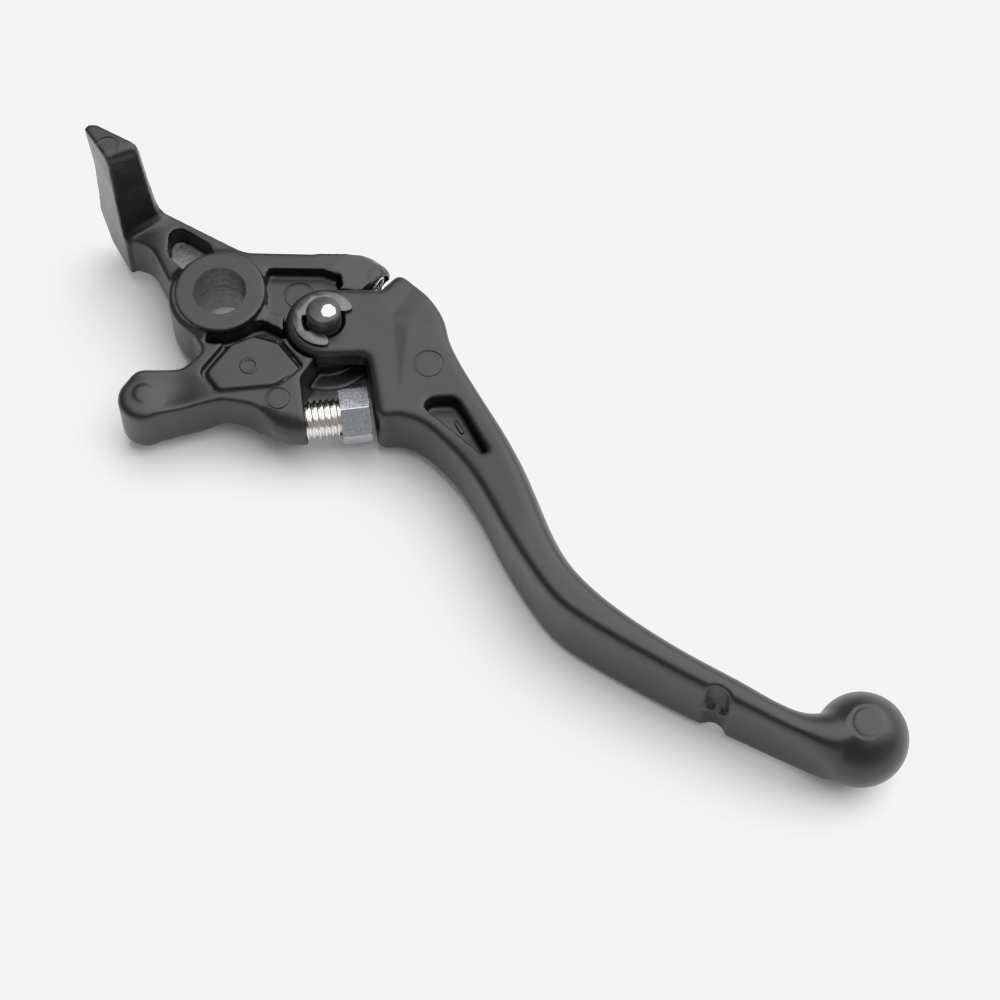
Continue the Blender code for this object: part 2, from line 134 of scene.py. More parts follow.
def flowing(knots: Sequence[Point], spans: int = 4) -> list[Corner]:
    """Points on a smooth line through knots, from the first knot to the last.

    Args:
        knots: the points that the line passes through.
        spans: segments between two knots.

    Returns:
        x, y and a corner radius of 0 for each point.
    """
    ends = [Vector(knots[0]) * 2 - Vector(knots[1]), Vector(knots[-1]) * 2 - Vector(knots[-2])]
    line = [ends[0], *[Vector(knot) for knot in knots], ends[1]]
    points: list[Corner] = []
    for one, two, three, four in zip(line, line[1:], line[2:], line[3:]):
        for step in range(spans):
            t = step / spans
            spot = two * 2 + (three - one) * t
            spot += (one * 2 - two * 5 + three * 4 - four) * t**2
            spot += (two * 3 - one - three * 3 + four) * t**3
            points.append((spot.x / 2, spot.y / 2, 0.0))
    points.append((*knots[-1], 0.0))
    return points


def soft_step(values: np.ndarray, low: float, high: float) -> np.ndarray:
    """A smooth rise from 0 below low to 1 above high."""
    t = np.clip((values - low) / (high - low), 0.0, 1.0)
    return t * t * (3 - 2 * t)


def distance_to(spots: np.ndarray, line: Sequence[Point]) -> np.ndarray:
    """Plan distance from each point to an open line of straight runs."""
    reach = np.full(len(spots), 1000.0)
    for start, end in zip(np.array(line), np.array(line[1:])):
        along = end - start
        share = np.clip((spots[:, :2] - start) @ along / (along @ along), 0.0, 1.0)
        gap = spots[:, :2] - start - share[:, None] * along
        reach = np.minimum(reach, np.hypot(gap[:, 0], gap[:, 1]))
    return reach


def rim_level(reach: np.ndarray, radius: np.ndarray, half: float) -> np.ndarray:
    """How far a rim of a given radius lowers a face, as a share of its half height."""
    depth = np.clip(radius - reach, 0.0, radius)
    return (half - radius + np.sqrt(radius**2 - depth**2)) / half


class Forge:
    """The operators that shape a piece, in millimetres."""

    @staticmethod
    def deselect() -> None:
        """Leave nothing selected."""
        for item in bpy.context.selected_objects:
            item.select_set(False)

    @staticmethod
    def select(piece: bpy.types.Object) -> None:
        """Make one piece the only selected and the active one."""
        Forge.deselect()
        piece.select_set(True)
        bpy.context.view_layer.objects.active = piece

    @staticmethod
    def edit(piece: bpy.types.Object) -> None:
        """Enter edit mode on a piece with all of it selected."""
        Forge.select(piece)
        bpy.ops.object.mode_set(mode="EDIT")
        bpy.ops.mesh.select_all(action="SELECT")

    @staticmethod
    def close() -> None:
        """Point the faces outwards and leave edit mode."""
        bpy.ops.mesh.select_all(action="SELECT")
        bpy.ops.mesh.normals_make_consistent(inside=False)
        bpy.ops.object.mode_set(mode="OBJECT")

    @staticmethod
    def slab(
        name: str,
        outline: Sequence[Point],
        low: float,
        high: float,
        place: Matrix | None = None,
    ) -> bpy.types.Object:
        """Extrude a flat outline upwards.

        Args:
            name: the piece's name.
            outline: the points of the closed outline.
            low: height of its underside.
            high: height of its top.
            place: where the slab's own frame stands.

        Returns:
            The closed slab.
        """
        Forge.deselect()
        bpy.ops.mesh.primitive_circle_add(vertices=len(outline), fill_type="NGON")
        piece = bpy.context.object
        piece.name = name
        for vert, (x, y) in zip(piece.data.vertices, outline):
            vert.co = (x, y, low)
        Forge.edit(piece)
        rise = {"value": (0.0, 0.0, high - low)}
        bpy.ops.mesh.extrude_region_move(TRANSFORM_OT_translate=rise)
        Forge.close()
        piece.data.transform(place or Matrix())
        return piece

    @staticmethod
    def rod(
        name: str,
        radius: float,
        low: float,
        high: float,
        place: Matrix | None = None,
        sides: int = 72,
        top: float | None = None,
    ) -> bpy.types.Object:
        """A round bar or cone along the Z of its place.

        Args:
            name: the piece's name.
            radius: radius at the low end.
            low: the low end along the axis.
            high: the high end along the axis.
            place: where the bar's own frame stands.
            sides: faces round the bar.
            top: radius at the high end, the same as at the low end if left out.

        Returns:
            The closed bar.
        """
        Forge.deselect()
        bpy.ops.mesh.primitive_cone_add(
            vertices=sides,
            radius1=radius,
            radius2=radius if top is None else top,
            depth=high - low,
            end_fill_type="NGON",
        )
        piece = bpy.context.object
        piece.name = name
        piece.data.transform((place or Matrix()) @ at(0.0, 0.0, (high + low) / 2))
        return piece

    @staticmethod
    def turned(
        name: str,
        profile: Sequence[Point],
        place: Matrix | None = None,
        steps: int = 96,
    ) -> bpy.types.Object:
        """Spin a profile round the Z of its place.

        Args:
            name: the piece's name.
            profile: radius and height of each point. It may start and end on the axis, or be a
                closed loop clear of it.
            place: where the piece's own frame stands.
            steps: faces round the piece.

        Returns:
            The closed solid.
        """
        Forge.deselect()
        bpy.ops.mesh.primitive_circle_add(vertices=len(profile), fill_type="NOTHING")
        piece = bpy.context.object
        piece.name = name
        for vert, (radius, height) in zip(piece.data.vertices, profile):
            vert.co = (radius, 0.0, height)
        Forge.edit(piece)
        bpy.ops.mesh.spin(steps=steps, angle=2 * math.pi, center=(0, 0, 0), axis=(0, 0, 1))
        bpy.ops.mesh.select_all(action="SELECT")
        bpy.ops.mesh.remove_doubles(threshold=0.0005)
        bpy.ops.mesh.dissolve_degenerate(threshold=0.0005)
        bpy.ops.mesh.delete_loose()
        Forge.close()
        piece.data.transform(place or Matrix())
        return piece

    @staticmethod
    def apply(piece: bpy.types.Object, kind: str, **settings: object) -> None:
        """Add a modifier with its settings and apply it."""
        step = piece.modifiers.new(kind.lower(), kind)
        for name, value in settings.items():
            setattr(step, name, value)
        Forge.select(piece)
        bpy.ops.object.modifier_apply(modifier=step.name)

    @staticmethod
    def bevel(piece: bpy.types.Object, width: float, segments: int = 3) -> None:
        """Round a piece's sharp edges."""
        Forge.apply(
            piece,
            "BEVEL",
            width=width,
            segments=segments,
            limit_method="ANGLE",
            angle_limit=math.radians(38),
            use_clamp_overlap=False,
        )

    @staticmethod
    def combine(
        piece: bpy.types.Object,
        tool: bpy.types.Object,
        how: Join,
        solver: Solver = Solver.FACES,
    ) -> None:
        """Join or cut a piece with a tool, which is used up."""
        Forge.apply(piece, "BOOLEAN", object=tool, operation=how.value, solver=solver.value)
        bpy.data.objects.remove(tool, do_unlink=True)

    @staticmethod
    def cast(piece: bpy.types.Object, grain: float, passes: int) -> None:
        """Melt a piece's parts into one fine even skin with soft edges.

        Args:
            piece: the closed mesh to recast.
            grain: the size of the new faces.
            passes: smoothing passes over the skin.
        """
        Forge.apply(piece, "REMESH", mode="VOXEL", voxel_size=grain, use_smooth_shade=True)
        Forge.apply(piece, "SMOOTH", factor=0.5, iterations=passes)

    @staticmethod
    def relax(piece: bpy.types.Object, weigh: Mover, passes: int) -> None:
        """Smooth a piece where a rule gives its points weight."""
        count = len(piece.data.vertices)
        spots = np.empty(count * 3, np.float32)
        piece.data.vertices.foreach_get("co", spots)
        weights = weigh(spots.reshape(-1, 3).astype(np.float64))
        group = piece.vertex_groups.new(name="relaxed")
        for index in np.flatnonzero(weights > 0.01):
            group.add([int(index)], float(weights[index]), "REPLACE")
        Forge.apply(piece, "SMOOTH", factor=0.5, iterations=passes, vertex_group=group.name)
        piece.vertex_groups.clear()

    @staticmethod
    def sculpt(piece: bpy.types.Object, move: Mover) -> None:
        """Move every point of a piece by one rule."""
        count = len(piece.data.vertices)
        spots = np.empty(count * 3, np.float32)
        piece.data.vertices.foreach_get("co", spots)
        moved = move(spots.reshape(-1, 3).astype(np.float64))
        piece.data.vertices.foreach_set("co", moved.astype(np.float32).ravel())
        piece.data.update()

    @staticmethod
    def finish(piece: bpy.types.Object, angle: float = 32.0) -> None:
        """Bring a piece to metres and shade it smooth but for its sharp edges."""
        piece.data.transform(Matrix.Scale(MM, 4))
        piece.data.update()
        Forge.select(piece)
        bpy.ops.object.shade_smooth_by_angle(angle=math.radians(angle))
        Forge.deselect()


class Nodes:
    """A small builder of shader node trees."""

    def __init__(self, tree: bpy.types.NodeTree) -> None:
        """Work on one tree."""
        self.tree = tree

    def add(self, kind: str, **settings: object) -> bpy.types.Node:
        """Add a node and set its properties."""
        node = self.tree.nodes.new(kind)
        for name, value in settings.items():
            setattr(node, name, value)
        return node

    def link(self, out: bpy.types.NodeSocket, into: bpy.types.NodeSocket) -> None:
        """Join two sockets."""
        self.tree.links.new(out, into)

    def math(
        self,
        operation: str,
        one: bpy.types.NodeSocket | float,
        two: bpy.types.NodeSocket | float,
    ) -> bpy.types.NodeSocket:
        """One operation on two values or sockets."""
        node = self.add("ShaderNodeMath", operation=operation)
        for socket, value in zip(node.inputs, (one, two)):
            if isinstance(value, bpy.types.NodeSocket):
                self.link(value, socket)
            else:
                socket.default_value = value
        return node.outputs[0]

    def ramp(
        self, value: bpy.types.NodeSocket, low: float, high: float, start: float, end: float
    ) -> bpy.types.NodeSocket:
        """Map low..high to start..end, held at both ends."""
        node = self.add("ShaderNodeMapRange")
        self.link(value, node.inputs["Value"])
        for name, number in (
            ("From Min", low),
            ("From Max", high),
            ("To Min", start),
            ("To Max", end),
        ):
            node.inputs[name].default_value = number
        return node.outputs["Result"]

    def blend(
        self,
        share: bpy.types.NodeSocket,
        one: Sequence[float],
        two: Sequence[float],
    ) -> bpy.types.NodeSocket:
        """Mix two colours by a share."""
        node = self.add("ShaderNodeMix", data_type="RGBA")
        self.link(share, node.inputs["Factor"])
        node.inputs["A"].default_value = (*one, 1.0)
        node.inputs["B"].default_value = (*two, 1.0)
        return node.outputs["Result"]


def grain_group() -> bpy.types.NodeTree:
    """The grain that every finish shares: an uneven skin, a slow mottle and rare bright specks.

    Returns:
        A group with inputs Vector, Grain and Mottle, and outputs Height, Mottle and Specks.
    """
    found = bpy.data.node_groups.get("SurfaceGrain")
    if found:
        return found
    tree = bpy.data.node_groups.new("SurfaceGrain", "ShaderNodeTree")
    tree.interface.new_socket("Vector", in_out="INPUT", socket_type="NodeSocketVector")
    for name, value in (("Grain", 4200.0), ("Mottle", 260.0)):
        socket = tree.interface.new_socket(name, in_out="INPUT", socket_type="NodeSocketFloat")
        socket.default_value = value
    for name in ("Height", "Mottle", "Specks"):
        tree.interface.new_socket(name, in_out="OUTPUT", socket_type="NodeSocketFloat")
    nodes = Nodes(tree)
    start = nodes.add("NodeGroupInput")
    end = nodes.add("NodeGroupOutput")
    fine = nodes.add("ShaderNodeTexNoise")
    fine.inputs["Detail"].default_value = 3.0
    slow = nodes.add("ShaderNodeTexNoise")
    slow.inputs["Detail"].default_value = 4.0
    dots = nodes.add("ShaderNodeTexVoronoi")
    dots.inputs["Randomness"].default_value = 1.0
    for node in (fine, slow, dots):
        nodes.link(start.outputs["Vector"], node.inputs["Vector"])
    nodes.link(start.outputs["Grain"], fine.inputs["Scale"])
    nodes.link(start.outputs["Mottle"], slow.inputs["Scale"])
    nodes.link(nodes.math("MULTIPLY", start.outputs["Grain"], 0.21), dots.inputs["Scale"])
    near = nodes.ramp(dots.outputs["Distance"], 0.05, 0.16, 1.0, 0.0)
    pick = nodes.add("ShaderNodeSeparateColor")
    nodes.link(dots.outputs["Color"], pick.inputs["Color"])
    rare = nodes.math("GREATER_THAN", pick.outputs["Red"], 0.93)
    nodes.link(fine.outputs["Fac"], end.inputs["Height"])
    nodes.link(slow.outputs["Fac"], end.inputs["Mottle"])
    nodes.link(nodes.math("MULTIPLY", near, rare), end.inputs["Specks"])
    return tree


@dataclass(frozen=True)
class Finish:
    """One surface finish, from its colours, gloss and grain."""

    name: str
    colour: tuple[float, float, float]
    tint: tuple[float, float, float]
    roughness: float
    spread: float = 0.08
    metallic: float = 0.0
    specular: float = 0.5
    grain: float = 4200.0
    mottle: float = 260.0
    bump: float = 0.1
    depth: float = 0.00004
    specks: float = 0.0

    def build(self) -> bpy.types.Material:
        """Make the material.

        Returns:
            A Principled material whose colour, roughness and normal follow the grain.
        """
        made = bpy.data.materials.new(self.name)
        made.use_nodes = True
        nodes = Nodes(made.node_tree)
        shader = made.node_tree.nodes["Principled BSDF"]
        where = nodes.add("ShaderNodeTexCoord").outputs["Object"]
        grain = nodes.add("ShaderNodeGroup", node_tree=grain_group())
        nodes.link(where, grain.inputs["Vector"])
        grain.inputs["Grain"].default_value = self.grain
        grain.inputs["Mottle"].default_value = self.mottle
        share = nodes.ramp(grain.outputs["Mottle"], 0.3, 0.7, 0.0, 1.0)
        colour = nodes.blend(share, self.colour, self.tint)
        if self.specks:
            dusted = nodes.add("ShaderNodeMix", data_type="RGBA")
            amount = nodes.math("MULTIPLY", grain.outputs["Specks"], self.specks)
            nodes.link(amount, dusted.inputs["Factor"])
            nodes.link(colour, dusted.inputs["A"])
            dusted.inputs["B"].default_value = (0.32, 0.32, 0.33, 1.0)
            colour = dusted.outputs["Result"]
        nodes.link(colour, shader.inputs["Base Color"])
        low, high = self.roughness - self.spread, self.roughness + self.spread
        rough = nodes.ramp(grain.outputs["Mottle"], 0.3, 0.7, low, high)
        nodes.link(rough, shader.inputs["Roughness"])
        bump = nodes.add("ShaderNodeBump")
        bump.inputs["Strength"].default_value = self.bump
        bump.inputs["Distance"].default_value = self.depth
        nodes.link(grain.outputs["Height"], bump.inputs["Height"])
        nodes.link(bump.outputs["Normal"], shader.inputs["Normal"])
        shader.inputs["Metallic"].default_value = self.metallic
        shader.inputs["Specular IOR Level"].default_value = self.specular
        made.diffuse_color = (*self.colour, 1.0)
        return made


POWDER = Finish(
    name="black_powder_coat",
    colour=(0.0042, 0.0041, 0.0046),
    tint=(0.0062, 0.0060, 0.0066),
    roughness=0.38,
    spread=0.03,
    bump=0.30,
    specks=0.12,
    specular=0.5,
)
BORED = Finish(
    name="bored_black",
    colour=(0.26, 0.26, 0.262),
    tint=(0.42, 0.415, 0.405),
    roughness=0.38,
    spread=0.08,
    grain=2600.0,
    mottle=900.0,
    bump=0.9,
    metallic=0.9,
    depth=0.00008,
)
SANDED = Finish(
    name="rough_cast_floor",
    colour=(0.10, 0.10, 0.10),
    tint=(0.24, 0.235, 0.225),
    roughness=0.5,
    spread=0.12,
    grain=2000.0,
    mottle=1500.0,
    bump=1.0,
    metallic=0.6,
    depth=0.00012,
)
PHOSPHATE = Finish(
    name="grey_phosphate",
    colour=(0.045, 0.045, 0.047),
    tint=(0.075, 0.075, 0.077),
    roughness=0.40,
    spread=0.06,
    metallic=0.75,
    grain=3200.0,
    mottle=700.0,
    bump=0.2,
)
CLIP_STEEL = Finish(
    name="clip_spring_steel",
    colour=(0.075, 0.075, 0.078),
    tint=(0.11, 0.11, 0.113),
    roughness=0.32,
    spread=0.06,
    metallic=0.85,
    grain=3600.0,
    mottle=600.0,
    bump=0.15,
)
ZINC = Finish(
    name="zinc_plate",
    colour=(0.42, 0.44, 0.49),
    tint=(0.60, 0.62, 0.66),
    roughness=0.24,
    spread=0.10,
    metallic=1.0,
    grain=2400.0,
    mottle=2600.0,
    bump=0.35,
)
NICKEL = Finish(
    name="nickel_plate",
    colour=(0.74, 0.71, 0.67),
    tint=(0.84, 0.81, 0.78),
    roughness=0.17,
    spread=0.05,
    metallic=1.0,
    mottle=900.0,
    bump=0.1,
)
WIRE = Finish(
    name="bright_spring_wire",
    colour=(0.78, 0.78, 0.79),
    tint=(0.88, 0.88, 0.88),
    roughness=0.16,
    spread=0.05,
    metallic=1.0,
    bump=0.1,
)
PAINT = Finish(
    name="white_paint_dab",
    colour=(0.88, 0.88, 0.87),
    tint=(0.80, 0.80, 0.79),
    roughness=0.45,
    spread=0.06,
    grain=2600.0,
    mottle=900.0,
    bump=0.4,
)


@dataclass(frozen=True)
class Mark:
    """A round ejector mark: a disc ringed by a fine groove."""

    x: float
    y: float
    radius: float
    face: float
    rise: float = 0.12
    groove: float = 0.16
    depth: float = 0.3

    def ring(self, name: str) -> bpy.types.Object:
        """The tool that cuts the ring groove."""
        low = self.face - self.depth
        wall = [
            (self.radius - self.groove, low + 0.1),
            (self.radius + self.groove, low + 0.1),
            (self.radius + self.groove * 1.6, self.face + 1.2),
            (self.radius - self.groove * 1.6, self.face + 1.2),
        ]
        return Forge.turned(name, wall, at(self.x, self.y), 56)


class Casting:
    """What both castings share: fine skin, marks, finish slots and their body."""

    @staticmethod
    def engrave(piece: bpy.types.Object, marks: Sequence[Mark]) -> None:
        """Cut the ring groove of every mark."""
        for index, mark in enumerate(marks):
            Forge.combine(piece, mark.ring(f"ring_{index}"), Join.CUT, Solver.DENSE)

    @staticmethod
    def lift(spots: np.ndarray, marks: Sequence[Mark]) -> np.ndarray:
        """Raise or lower the disc of every mark."""
        for mark in marks:
            reach = np.hypot(spots[:, 0] - mark.x, spots[:, 1] - mark.y)
            near = (spots[:, 2] > mark.face - 1.5).astype(float)
            spots[:, 2] += mark.rise * near * (1 - soft_step(reach, mark.radius - 0.2, mark.radius))
        return spots

    @staticmethod
    def paint(
        piece: bpy.types.Object,
        index: int,
        inside: Callable[[np.ndarray, np.ndarray], np.ndarray],
    ) -> None:
        """Give the faces that a rule picks another of the piece's materials.

        Args:
            piece: the piece, in millimetres.
            index: the material slot to use.
            inside: from face centres and normals to a mask of the faces to change.
        """
        count = len(piece.data.polygons)
        centres = np.empty(count * 3, np.float32)
        normals = np.empty(count * 3, np.float32)
        slots = np.empty(count, np.int32)
        piece.data.polygons.foreach_get("center", centres)
        piece.data.polygons.foreach_get("normal", normals)
        piece.data.polygons.foreach_get("material_index", slots)
        picked = inside(centres.reshape(-1, 3), normals.reshape(-1, 3))
        slots[picked] = index
        piece.data.polygons.foreach_set("material_index", slots)


@dataclass
class BaseCasting(Casting):
    """The casting that turns on the handlebar: plate, boss, post, nose, lobe and barrel."""

    half: float = 6.2
    boss_radius: float = 9.3
    boss_half: float = 7.75
    bore_radius: float = 5.25
    pin: Point = PIN_AXIS
    nose: Point = (2.7, -27.4)
    grain: float = 0.32
    outline: list[Corner] = field(
        default_factory=lambda: [
            (-23.2, 8.4, 0.0),
            (-24.2, -1.4, 0.0),
            (-19.0, 0.3, 5.0),
            (-8.0, -5.0, 0.0),
            (-3.0, -8.5, 0.0),
            (5.3, -12.0, 2.0),
            (4.6, -17.6, 3.5),
            (-2.35, -23.3, 3.4),
            (-2.25, -27.4, 0.0),
            (1.4, -31.2, 0.0),
            (6.2, -30.4, 0.0),
            (15.5, -18.6, 8.0),
            (21.5, -15.6, 6.0),
            (27.0, -16.5, 3.0),
            (29.9, -15.8, 2.6),
            (33.2, -13.3, 1.2),
            (25.0, -5.0, 1.2),
            (24.4, 1.2, 0.0),
            (23.0, 12.0, 0.0),
            (14.3, 18.8, 0.0),
            (16.4, 25.0, 0.0),
            (14.0, 23.0, 0.0),
            (-2.7, 11.0, 8.0),
        ]
    )
    flank: list[Point] = field(
        default_factory=lambda: [(23.4, -15.9), (27.0, -16.5), (29.9, -15.8), (35.4, -11.6)]
    )
    marks: list[Mark] = field(
        default_factory=lambda: [
            Mark(24.5, -11.6, 2.35, 6.2),
            Mark(11.6, 10.7, 3.0, 3.2, rise=0.1),
            Mark(-26.6, 1.1, 2.15, 34.2, rise=-0.06),
        ]
    )

    def post(self) -> bpy.types.Object:
        """The upright finger, extruded ring by ring from its foot to its top."""
        rings = [
            (-6.2, -9.3, (-32.0, 3.6), (-31.2, 4.8), (-20.0, 8.3), (-19.0, 5.5), 0.0),
            (0.9, -13.1, (-35.0, 4.4), (-34.4, 5.5), (-20.0, 8.4), (-18.6, 6.2), 0.0),
            (5.9, -12.3, (-34.5, 4.1), (-33.9, 5.3), (-20.0, 8.5), (-18.0, 7.0), 0.2),
            (6.5, -12.2, (-34.4, 4.0), (-33.8, 5.2), (-21.6, 8.4), (-20.6, 7.0), -0.2),
            (7.6, -12.0, (-34.2, 3.9), (-33.6, 5.1), (-22.6, 8.2), (-21.9, 6.8), -0.6),
            (9.6, -11.8, (-34.0, 3.8), (-33.4, 5.0), (-23.0, 8.0), (-22.4, 6.7), -1.0),
            (21.0, -10.5, (-33.4, 3.2), (-32.6, 4.4), (-22.5, 6.4), (-21.6, 5.2), -1.2),
            (31.6, -10.5, (-33.5, 3.1), (-32.4, 4.0), (-22.4, 5.4), (-21.1, 4.0), -1.2),
            (32.8, -10.5, (-33.4, 3.0), (-32.1, 4.0), (-22.6, 5.3), (-21.4, 4.0), -1.4),
            (33.7, -10.3, (-33.2, 2.9), (-31.8, 3.9), (-23.0, 5.1), (-22.1, 4.0), -1.95),
            (34.2, -10.0, (-32.8, 2.7), (-31.5, 3.7), (-23.6, 4.8), (-23.1, 3.8), -2.8),
        ]
        sections = [
            (height, [self.pad(left, 0.045 * max(height - 21.0, 0.0)), *middle, self.pad(right)])
            for height, left, *middle, right in rings
        ]
        first, ring = sections[0]
        Forge.deselect()
        bpy.ops.mesh.primitive_circle_add(vertices=len(ring), fill_type="NGON")
        piece = bpy.context.object
        piece.name = "post"
        for vert, (x, y) in zip(piece.data.vertices, ring):
            vert.co = (x, y, first)
        for height, ring in sections[1:]:
            Forge.select(piece)
            bpy.ops.object.mode_set(mode="EDIT")
            bpy.ops.mesh.extrude_region_move(TRANSFORM_OT_translate={"value": (0.0, 0.0, 1.0)})
            bpy.ops.object.mode_set(mode="OBJECT")
            fresh = [vert for vert in piece.data.vertices if vert.select]
            for vert, (x, y) in zip(fresh, ring):
                vert.co = (x, y, height)
        Forge.edit(piece)
        Forge.close()
        return piece

    @staticmethod
    def pad(distance: float, out: float = 0.0) -> Point:
        """A point of the post's flat face, along it from its lower right edge and out of it."""
        x = -23.4 + 0.9194 * distance - 0.3932 * out
        return (x, -1.9 - 0.3932 * distance - 0.9194 * out)

    def shell(self) -> bpy.types.Object:
        """The coarse casting with its hollows, before its skin is made fine."""
        plate = Forge.slab("base_casting", rounded(self.outline), -self.half, self.half)
        Forge.bevel(plate, 0.9)
        nose = Forge.rod("nose", 5.0, -self.half - 0.1, self.half + 0.1, at(*self.nose))
        Forge.bevel(nose, 1.3, 4)
        step = Forge.rod("step", 10.4, -self.half - 0.35, self.half + 0.35)
        Forge.bevel(step, 0.3, 2)
        for tool in (nose, self.post(), step):
            Forge.combine(plate, tool, Join.ADD)
        for sign in (1, -1):
            for tool in self.hollows(sign):
                Forge.combine(plate, tool, Join.CUT)
        for sign in (1, -1):
            Forge.combine(plate, self.panel(sign), Join.ADD)
        web = Forge.rod("tongue_web", 11.2, -2.1, -1.3, at(*self.pin))
        Forge.combine(plate, web, Join.ADD)
        tongue = Forge.rod("tongue", 7.4, -2.1, 2.1, at(*self.pin))
        boss = Forge.rod("boss", self.boss_radius, -self.boss_half, self.boss_half)
        Forge.bevel(boss, 0.35, 2)
        barrel = [(0.0, 12.6), (2.6, 12.6), (4.0, 15.4), (4.45, 17.4), (4.45, 20.9), (4.1, 21.9)]
        barrel = Forge.turned("barrel", [*barrel, (3.7, 22.3), (0.0, 22.3)], spring_axis())
        for tool in (tongue, boss, self.saddle(), barrel):
            Forge.combine(plate, tool, Join.ADD)
        return plate

    @staticmethod
    def panel(sign: int) -> bpy.types.Object:
        """The bevelled plateau beside the boss on the upper (1) or lower (-1) side."""
        near = [(8.7, -7.3, 0.8), (10.9, -3.1, 0.8), (16.0, -1.3, 0.6), (23.4, -3.2, 0.6)]
        far = [(21.5, -9.4, 2.4), (13.4, -16.9, 1.2), (8.9, -15.5, 1.4)]
        low, high = sorted((sign * 3.9, sign * 5.45))
        piece = Forge.slab("panel", rounded(near + far), low, high)
        Forge.bevel(piece, 0.3, 2)
        return piece

    @staticmethod
    def saddle() -> bpy.types.Object:
        """The web that falls from the plate to the spring barrel."""
        far = [(8.0, 16.4), (9.5, 19.7), (16.6, 24.9), (18.4, 25.8), (21.4, 26.0)]
        near = [(21.4, 19.2), (17.4, 15.9), (18.0, 17.2), (16.4, 18.6), (12.4, 18.0)]
        piece = Forge.slab("saddle", [*far, *near], -6.2, 6.2)
        rise = [(6.0, 6.2), (14.6, 6.2), (16.4, 5.6), (19.0, 4.4), (23.0, 4.0)]
        fall = [(x, -z) for x, z in reversed(rise)]
        tilt = at(0.0, 40.0) @ Matrix.Rotation(math.radians(90), 4, "X")
        prism = Forge.slab("saddle_fall", [*rise, *fall], 0.0, 40.0, tilt)
        Forge.combine(piece, prism, Join.KEEP)
        return piece

    def hollows(self, sign: int) -> list[bpy.types.Object]:
        """The pockets, grooves and ear room of one side.

        Args:
            sign: 1 for the upper side, -1 for the lower.

        Returns:
            The cutting tools.
        """
        shapes: list[tuple[str, list[Point], float]] = [
            (
                "pocket_a",
                rounded(
                    [
                        (-17.9, 5.4, 2.2),
                        (-14.6, 1.0, 2.2),
                        (-9.0, 0.0, 0.5),
                        (-7.0, 6.6, 0.5),
                        (-9.6, 8.0, 1.2),
                        (-16.6, 7.6, 2.3),
                    ]
                ),
                0.9,
            ),
            (
                "pocket_b",
                rounded(
                    [
                        (6.3, 5.4, 0.5),
                        (10.2, 3.2, 0.8),
                        (15.4, 4.4, 0.5),
                        (19.4, 16.0, 0.5),
                        (16.6, 18.2, 2.0),
                        (12.7, 17.3, 1.6),
                        (3.8, 10.8, 0.8),
                    ]
                ),
                3.2,
            ),
            (
                "panel_c",
                rounded(
                    [
                        (7.6, -6.9, 0.8),
                        (10.3, -2.1, 0.8),
                        (16.3, -0.6, 0.5),
                        (23.8, -2.7, 0.8),
                        (22.4, -9.7, 2.6),
                        (13.7, -17.9, 1.4),
                        (8.0, -16.3, 1.7),
                    ]
                ),
                4.75,
            ),
            (
                "moat",
                self.sector(9.0, 11.3, -66.0, -12.0) + [(16.8, -0.3), (16.8, 1.5), (10.8, 0.6)],
                2.4,
            ),
        ]
        tools = []
        for name, outline, floor in shapes:
            low, high = sorted((sign * floor, sign * 12.0))
            tools.append(Forge.slab(name, outline, low, high))
        near, far = sorted((sign * 2.1, sign * 20.0))
        place = at(*self.pin)
        tools.append(Forge.rod("ear_room", 8.3, near, far, place))
        x, y = self.pin
        sweep = [(x, y - 8.2), (x + 14.0, y - 3.0), (x + 14.0, y + 20.8), (x - 5.2, y + 6.6)]
        tools.append(Forge.slab("ear_sweep", sweep, near, far))
        return tools

    @staticmethod
    def sector(inner: float, outer: float, start: float, end: float) -> list[Point]:
        """A ring sector round the bore, from start to end degrees, as an outline."""
        turns = np.radians(np.linspace(start, end, 12))
        back = [(inner * math.cos(turn), inner * math.sin(turn)) for turn in reversed(turns)]
        out = [(outer * math.cos(turn), outer * math.sin(turn)) for turn in turns]
        return back + out

    def shape(self, spots: np.ndarray) -> np.ndarray:
        """Dish the arm, crown the nose and lift the marks."""
        x, y, z = spots[:, 0].copy(), spots[:, 1].copy(), spots[:, 2].copy()
        dish = np.exp(-(((x - 6.6) / 5.2) ** 2 + ((y + 22.0) / 4.6) ** 2))
        spots[:, 2] = z * (1 - 0.17 * dish)
        reach = np.hypot(x - self.nose[0], y - self.nose[1] - 0.6)
        crown = np.clip(1 - (reach / 4.6) ** 2, 0.0, 1.0) * (np.abs(z) > 4.5)
        spots[:, 2] += np.sign(z) * 0.25 * crown
        button = (1 - soft_step(reach, 1.4, 2.6)) * (np.abs(z) > 4.5)
        spots[:, 2] += np.sign(z) * 0.28 * button
        under = 0.42 * np.exp(-(((x - 16.5) / 5.5) ** 2 + ((y + 17.5) / 4.0) ** 2))
        under += 0.18 * soft_step(x, 23.0, 28.0) * (1 - soft_step(y, -10.0, -5.0))
        spots[:, 2] *= 1 - under * (z < 0)
        reach = distance_to(spots, self.flank)
        radii = np.interp(x, [21.0, 28.0], [0.1, 1.0]) * np.where(z > 0, 4.2, 5.8)
        spots[:, 2] *= rim_level(reach, radii, self.half)
        return self.lift(spots, self.marks)

    def lobe(self, spots: np.ndarray) -> np.ndarray:
        """How strongly each point is relaxed along the lobe's rounded flank."""
        reach = distance_to(spots, self.flank)
        return soft_step(spots[:, 0], 20.0, 25.0) * (1 - soft_step(reach, 2.0, 5.0))

    def emblem(self) -> bpy.types.Object:
        """The plain raised ring on the panel."""
        ring = [(1.25, 5.0), (1.3, 5.62), (1.4, 5.68), (1.75, 5.68), (1.85, 5.62), (1.9, 5.0)]
        return Forge.turned("panel_ring", ring, at(14.8, -9.0), 40)

